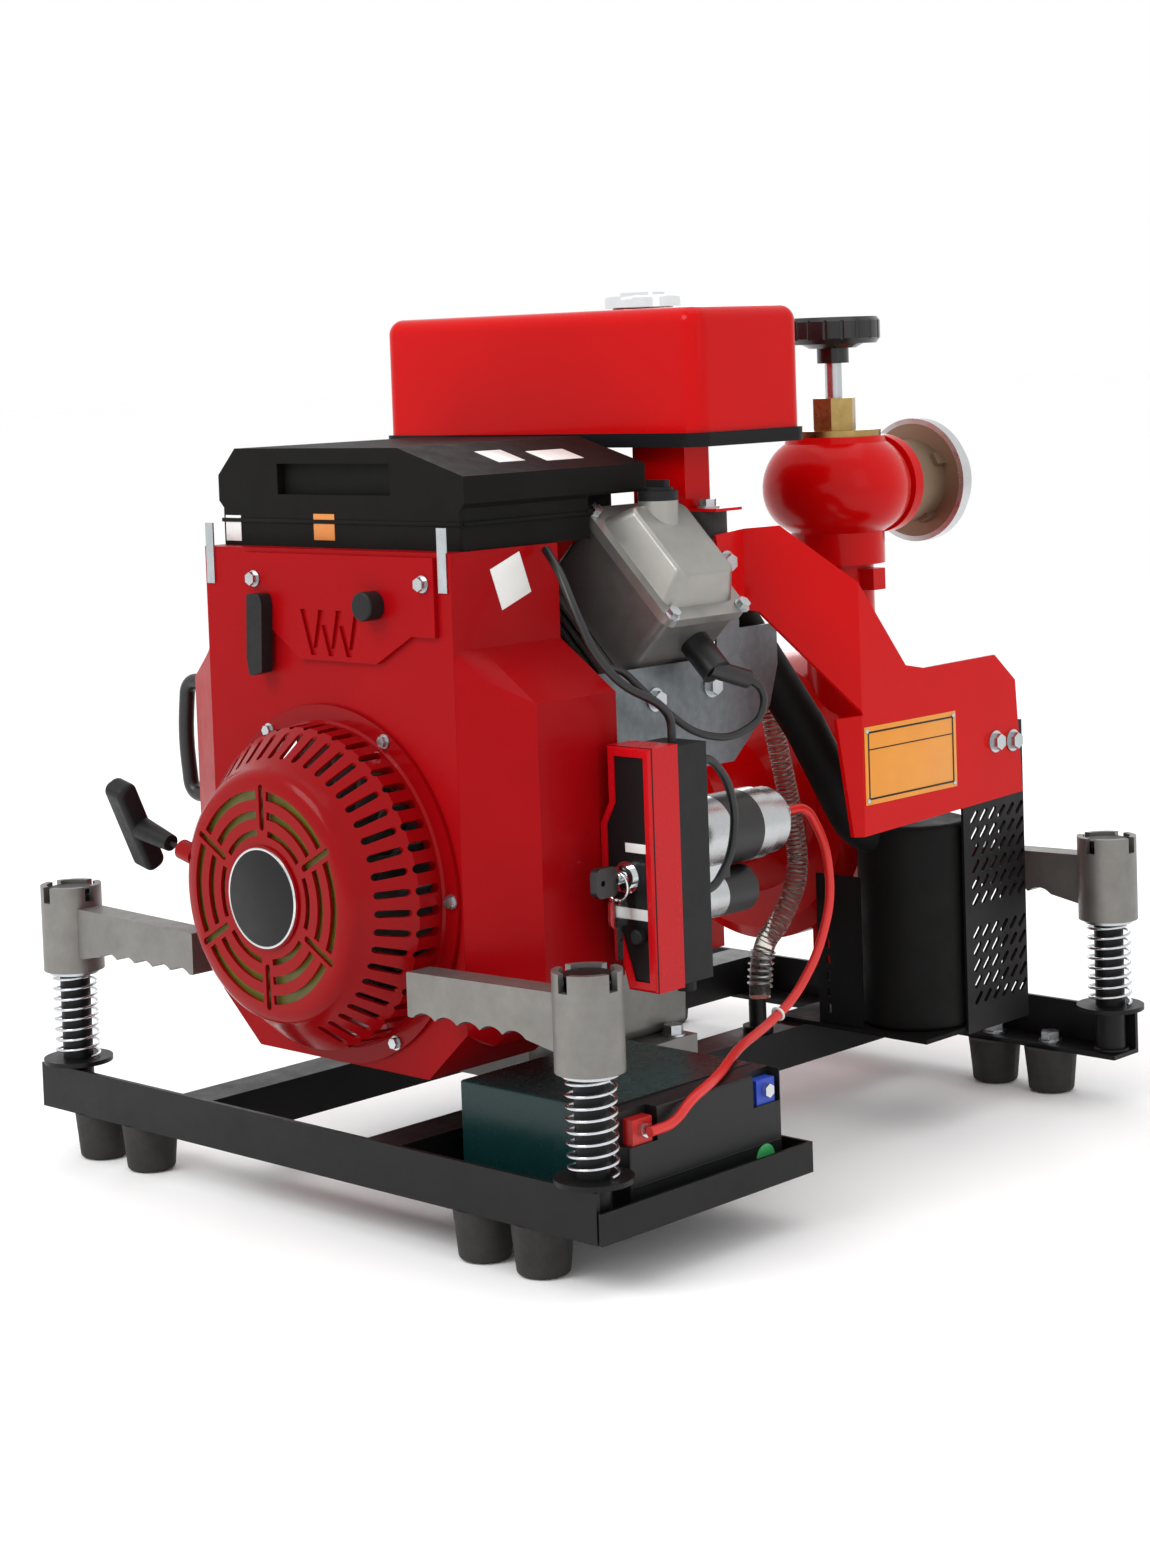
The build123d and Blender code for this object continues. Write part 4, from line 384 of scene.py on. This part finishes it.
# Two more on the sloped top of the lid, and one on the hood's side below it.
SLOPE_TILT = math.atan2(23, 76)
SLOPE_FOOT_X, SLOPE_FOOT_Z = 0.152, 0.6122
for name, x, y, wide, deep in (("white", 0.112, -0.2150, 0.030, 0.030), ("long", 0.118, -0.1560, 0.026, 0.044)):
    z = SLOPE_FOOT_Z + (SLOPE_FOOT_X - x) * math.tan(SLOPE_TILT)
    slab(x, y, z, wide, deep, 0.0005, 0.0001, (0, SLOPE_TILT, 0))
    new_piece("filter_top_label_" + name, label_paper)
slab(0.1524, -0.2480, 0.5250, 0.0006, 0.036, 0.036, 0.0001, (math.radians(20), 0, 0))
new_piece("hood_blank_label", label_paper)

# ------------------------------------------------------------------ tank
# Spot-welded steel tank in gloss red enamel on a carrier with a black painted
# flange, and a chromed screw cap. The side panel has the same enamel.
gloss_red = surface("gloss_red_enamel", "b80305", "c40507", 0.0, 0.16, 0.06, 3.0, 0.015, 90,
                    coat=0.12, shine=0.07)
dress(gloss_red, "fuel_tank", "bracket_panel")
carrier_red = surface("gloss_red_enamel_carrier", "b40305", "c00507", 0.0, 0.2, 0.08, 2.0, 0.03, 60,
                      coat=0.1, shine=0.07)
repaint(carrier_red, axis_band(carrier_red.node_tree, 2, 623.5, 700), "141416", None, 0.4)
dress(carrier_red, "tank_bracket")
chrome = surface("chromium_plate", "d6d8da", "eceeef", 1.0, 0.12, 0.1, 1.0, 0.01, 16)
dress(chrome, "fuel_cap")

# ------------------------------------------------------------------ pump and valve
# Grey-iron castings in gloss red enamel: the sand texture shows through the
# paint as soft dimples. Brass gland, steel stem, black phenolic handwheel,
# and an outlet coupling of bare machined aluminium with a darker neck.
cast_red = surface("red_enamel_over_sand_casting", "bc0305", "ca0507", 0.0, 0.22, 0.1, 3.2, 0.14, 50,
                   coat=0.12, shine=0.1)
dress(cast_red, "pump_casing", "suction_inlet", "valve_body")
brass = surface("machined_brass", "8d7444", "b59a63", 1.0, 0.3, 0.14, 1.0, 0.03, 14)
dress(brass, "valve_bonnet", "valve_disc")
phenolic = surface("black_phenolic_wheel", "0b0b0c", "161617", 0.0, 0.22, 0.1, 1.4, 0.03, 20)
repaint(phenolic, axis_band(phenolic.node_tree, 2, 500, 688.8), "b9bcc0", 1.0, 0.25)
dress(phenolic, "handwheel")
coupling = surface("machined_aluminium_coupling", "b3b4b5", "d0d1d2", 0.9, 0.3, 0.12, 0.9, 0.03, 30)
repaint(coupling, axis_band(coupling.node_tree, 1, 320, 372.5), "86705c", 0.8, 0.45)
dress(coupling, "outlet_coupling")

# Chromed acorn nut that clamps the handwheel on its stem.
bpy.ops.object.select_all(action="DESELECT")
bpy.ops.mesh.primitive_cylinder_add(vertices=6, radius=0.0085, depth=0.008, location=(0.092, 0.253, 0.7252))
softened(0.0012)
new_piece("wheel_nut", zinc, "valve_wheel")

# ------------------------------------------------------------------ exhaust
# Rolled steel can and bent pipe in matte black heat paint that greys where
# it has been hot.
heat_paint = surface("matte_black_heat_paint", "080808", "151413", 0.0, 0.6, 0.2, 1.2, 0.08, 70, shine=0.12)
dress(heat_paint, "muffler")

# ------------------------------------------------------------------ side panel
# Blank data plate riveted to the red side panel: an orange printed aluminium
# sheet with a black border line.
plate_orange = surface("printed_orange_aluminium", "d9861f", "e39630", 0.1, 0.35, 0.1, 1.5, 0.01, 30)
PLATE_Y, PLATE_Z, PLATE_W, PLATE_H = 0.128, 0.342, 0.132, 0.068
slab(0.2664, PLATE_Y, PLATE_Z, 0.0008, PLATE_W, PLATE_H, 0.0002)
new_piece("data_plate", plate_orange)
for name, y, z, w, h in (("top", 0, 0.029, 0.122, 0.0016), ("foot", 0, -0.029, 0.122, 0.0016),
                         ("left", -0.061, 0, 0.0016, 0.0596), ("right", 0.061, 0, 0.0016, 0.0596),
                         ("heading", 0, 0.014, 0.122, 0.0010)):
    slab(0.26695, PLATE_Y + y, PLATE_Z + z, 0.0003, w, h, 0.00005)
    new_piece("data_plate_line_" + name, label_black)
for i, (y, z) in enumerate(((-0.0625, 0.0305), (0.0625, 0.0305), (-0.0625, -0.0305), (0.0625, -0.0305))):
    bpy.ops.object.select_all(action="DESELECT")
    bpy.ops.mesh.primitive_uv_sphere_add(segments=16, ring_count=8, radius=0.0022,
                                         location=(0.2672, PLATE_Y + y, PLATE_Z + z))
    bpy.context.object.scale = (0.4, 1, 1)
    new_piece("data_plate_rivet_%d" % i, zinc)

# ------------------------------------------------------------------ control box
# Two-part moulded case: gloss red front rim round a black faceplate and a
# black back shell, with a chromed key switch and two blank paper tags.
case_red = surface("gloss_red_moulded_case", "b00811", "bc0b15", 0.0, 0.26, 0.08, 1.5, 0.03, 40,
                   coat=0.1, shine=0.16)
repaint(case_red, axis_band(case_red.node_tree, 1, -215.6, -214.4), "101011", None, 0.45)
dress(case_red, "control_box_front")
shell_black = surface("satin_black_moulded_shell", "101011", "1a1a1b", 0.0, 0.5, 0.16, 1.0, 0.05, 40, shine=0.25)
dress(shell_black, "control_box_rear")
dress(chrome, "lock_barrel")
key_mould = surface("black_key_moulding", "111112", "1d1d1f", 0.0, 0.35, 0.1, 1.0, 0.03, 14)
repaint(key_mould, axis_band(key_mould.node_tree, 1, -232.4, -200), "c9ccce", 1.0, 0.2)
dress(key_mould, "key")
for name, z, height in (("upper", 0.3105, 0.0075), ("lower", 0.2570, 0.0090)):
    slab(0.2495, -0.21515, z, 0.022, 0.0005, height, 0.0001)
    new_piece("switch_tag_" + name, label_paper)

# ------------------------------------------------------------------ starter
# Zinc plated drawn-steel starter body with a black blank rating label and a
# cable stud with its nut.
starter_zinc = surface("bright_zinc_drawn_steel", "a9acae", "c9cccd", 1.0, 0.28, 0.12, 1.0, 0.02, 30)
repaint(starter_zinc, axis_band(starter_zinc.node_tree, 1, -78, -38), "111112", 0.0, 0.4)
dress(starter_zinc, "starter_motor")

# ------------------------------------------------------------------ battery
# Sealed battery: dark teal ABS box, black on its outer side, with coloured
# terminal pockets and a blank round sticker.
battery_abs = surface("teal_black_battery_abs", "0b2727", "0f3030", 0.0, 0.26, 0.1, 1.6, 0.03, 40, shine=0.3)
repaint(battery_abs, axis_band(battery_abs.node_tree, 0, 297, 400), "131415", None, 0.4)
dress(battery_abs, "battery")
poles = surface("battery_terminal_lead", "b01210", "c41a16", 0.1, 0.35, 0.1, 1.0, 0.02, 12)
repaint(poles, axis_band(poles.node_tree, 1, -200, -100), "1b3fae", 0.0, 0.35)
repaint(poles, axis_band(poles.node_tree, 0, 323.2, 330), "c7cacc", 1.0, 0.25)
dress(poles, "battery_terminals")
slab(0.2975, -0.2245, 0.12775, 0.0016, 0.178, 0.0012, 0.0003)
new_piece("battery_lid_seam", label_black)
slab(0.3252, -0.2245, 0.0700, 0.0008, 0.174, 0.0020, 0.0004)
new_piece("battery_side_rib", label_black)
sticker_green = surface("green_vinyl_sticker", "2f9a52", "45b268", 0.0, 0.3, 0.08, 1.2, 0.01, 10)
bpy.ops.object.select_all(action="DESELECT")
bpy.ops.mesh.primitive_cylinder_add(vertices=48, radius=0.0110, depth=0.0008, location=(0.3254, -0.1560, 0.0590),
                                    rotation=(0, math.pi / 2, 0))
softened(0.0002)
new_piece("battery_sticker", sticker_green)

# ------------------------------------------------------------------ hoses and leads
# Black and red leads sheathed in PVC, and a priming hose of clear PVC with a
# steel wire wound in its wall. The hose follows the route below, in mm.
lead_black = surface("black_pvc_sheath", "0c0c0d", "1a1a1b", 0.0, 0.38, 0.14, 1.2, 0.04, 20)
dress(lead_black, "black_leads")
lead_red = surface("red_pvc_sheath", "c41512", "d32019", 0.0, 0.34, 0.12, 1.2, 0.03, 25)
dress(lead_red, "red_cable")
# A low index stands for the thin wall, which the solid tube doesn't have.
clear_pvc = surface("clear_pvc_hose", "cfc9bd", "ddd9d0", 0.0, 0.2, 0.1, 3.0, 0.1, 15, ior=1.12)
clear_pvc.node_tree.nodes["Principled BSDF"].inputs["Transmission Weight"].default_value = 0.96

HOSE_POINTS = (
    (20, -89.7, 498), (20, -52, 498), (36, -12, 508), (72, 32, 518), (104, 68, 508), (120, 88, 462),
    (122, 104, 400), (121, 122, 336), (120, 140, 274), (118, 150, 220), (111, 130, 180), (104, 104, 156),
    (104, 104, 112.3),
)
HOSE_R = 0.0098


def smooth_line(name, points, radius):
    """Curve on the route's points, order 3, ends on its first and last point."""
    data = bpy.data.curves.new(name, "CURVE")
    data.dimensions = "3D"
    spline = data.splines.new("NURBS")
    spline.points.add(len(points) - 1)
    for target, (x, y, z) in zip(spline.points, points):
        target.co = (x / 1000, y / 1000, z / 1000, 1)
    spline.order_u = 3
    spline.use_endpoint_u = True
    spline.resolution_u = 12
    data.bevel_depth = radius
    data.bevel_resolution = 4
    data.use_fill_caps = True
    curve = bpy.data.objects.new(name, data)
    bpy.context.collection.objects.link(curve)
    return curve


line = smooth_line("hose_line", HOSE_POINTS, 0.0)
bpy.context.view_layer.update()
line_mesh = bpy.data.meshes.new_from_object(line.evaluated_get(bpy.context.evaluated_depsgraph_get()))
track = [v.co.copy() for v in line_mesh.vertices]
bpy.data.objects.remove(line)
hose = smooth_line("priming_hose", HOSE_POINTS, HOSE_R)
hose.data.materials.append(clear_pvc)
bpy.ops.object.select_all(action="DESELECT")
hose.select_set(True)
bpy.context.view_layer.objects.active = hose
bpy.ops.object.convert(target="MESH")
new_piece("priming_hose", clear_pvc)
hose = bpy.context.object
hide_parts("clear_hose")

# The wire is a helix at 4.2 mm pitch inside the wall, and over the hose's
# foot a bend-protection spring of thicker wire goes round it.
hose_wire = surface("sprung_steel_hose_wire", "9b9ea0", "c6c9cb", 1.0, 0.3, 0.12, 0.8, 0.02, 8)


def coil_along(name, path, radius, pitch, wire_r, start, stop, sides=5, per_turn=14):
    """Wire wound round a path between two lengths along it."""
    reach = [0.0]
    for a, b in zip(path, path[1:]):
        reach.append(reach[-1] + (b - a).length)
    stop = min(stop, reach[-1])
    side = Vector((0, 0, 1)).cross(path[1] - path[0]).normalized()
    points = []
    index = 0
    steps = int((stop - start) / pitch * per_turn)
    for step in range(steps + 1):
        s = start + (stop - start) * step / steps
        while index < len(path) - 2 and reach[index + 1] < s:
            index += 1
        along = (path[index + 1] - path[index]).normalized()
        spot = path[index].lerp(path[index + 1], (s - reach[index]) / max(reach[index + 1] - reach[index], 1e-9))
        side = (side - along * side.dot(along)).normalized()
        other = along.cross(side)
        angle = 2 * math.pi * (s - start) / pitch
        points.append(spot + side * (radius * math.cos(angle)) + other * (radius * math.sin(angle)))
    data = bpy.data.curves.new(name, "CURVE")
    data.dimensions = "3D"
    spline = data.splines.new("POLY")
    spline.points.add(len(points) - 1)
    for target, p in zip(spline.points, points):
        target.co = (*p, 1)
    data.bevel_depth = wire_r
    data.bevel_resolution = 1
    data.use_fill_caps = True
    coil = bpy.data.objects.new(name, data)
    bpy.context.collection.objects.link(coil)
    bpy.ops.object.select_all(action="DESELECT")
    coil.select_set(True)
    bpy.context.view_layer.objects.active = coil
    bpy.ops.object.convert(target="MESH")


coil_along("hose_spiral_wire", track, 0.0088, 0.0042, 0.00055, 0.004, 0.555)
new_piece("hose_spiral_wire", hose_wire)
coil_along("hose_guard_spring", track, 0.0109, 0.0056, 0.0011, 0.560, 0.596)
new_piece("hose_guard_spring", hose_wire)

# White nylon tie round the red cable.
tie_white = surface("white_nylon_tie", "dcdcd8", "ebebe8", 0.0, 0.4, 0.1, 1.0, 0.02, 8)
turned_ring((0.2490, -0.0440, 0.1440), (0.10, -0.90, -0.30), 0.0052, 0.0013, 32, 8)
new_piece("cable_tie", tie_white)
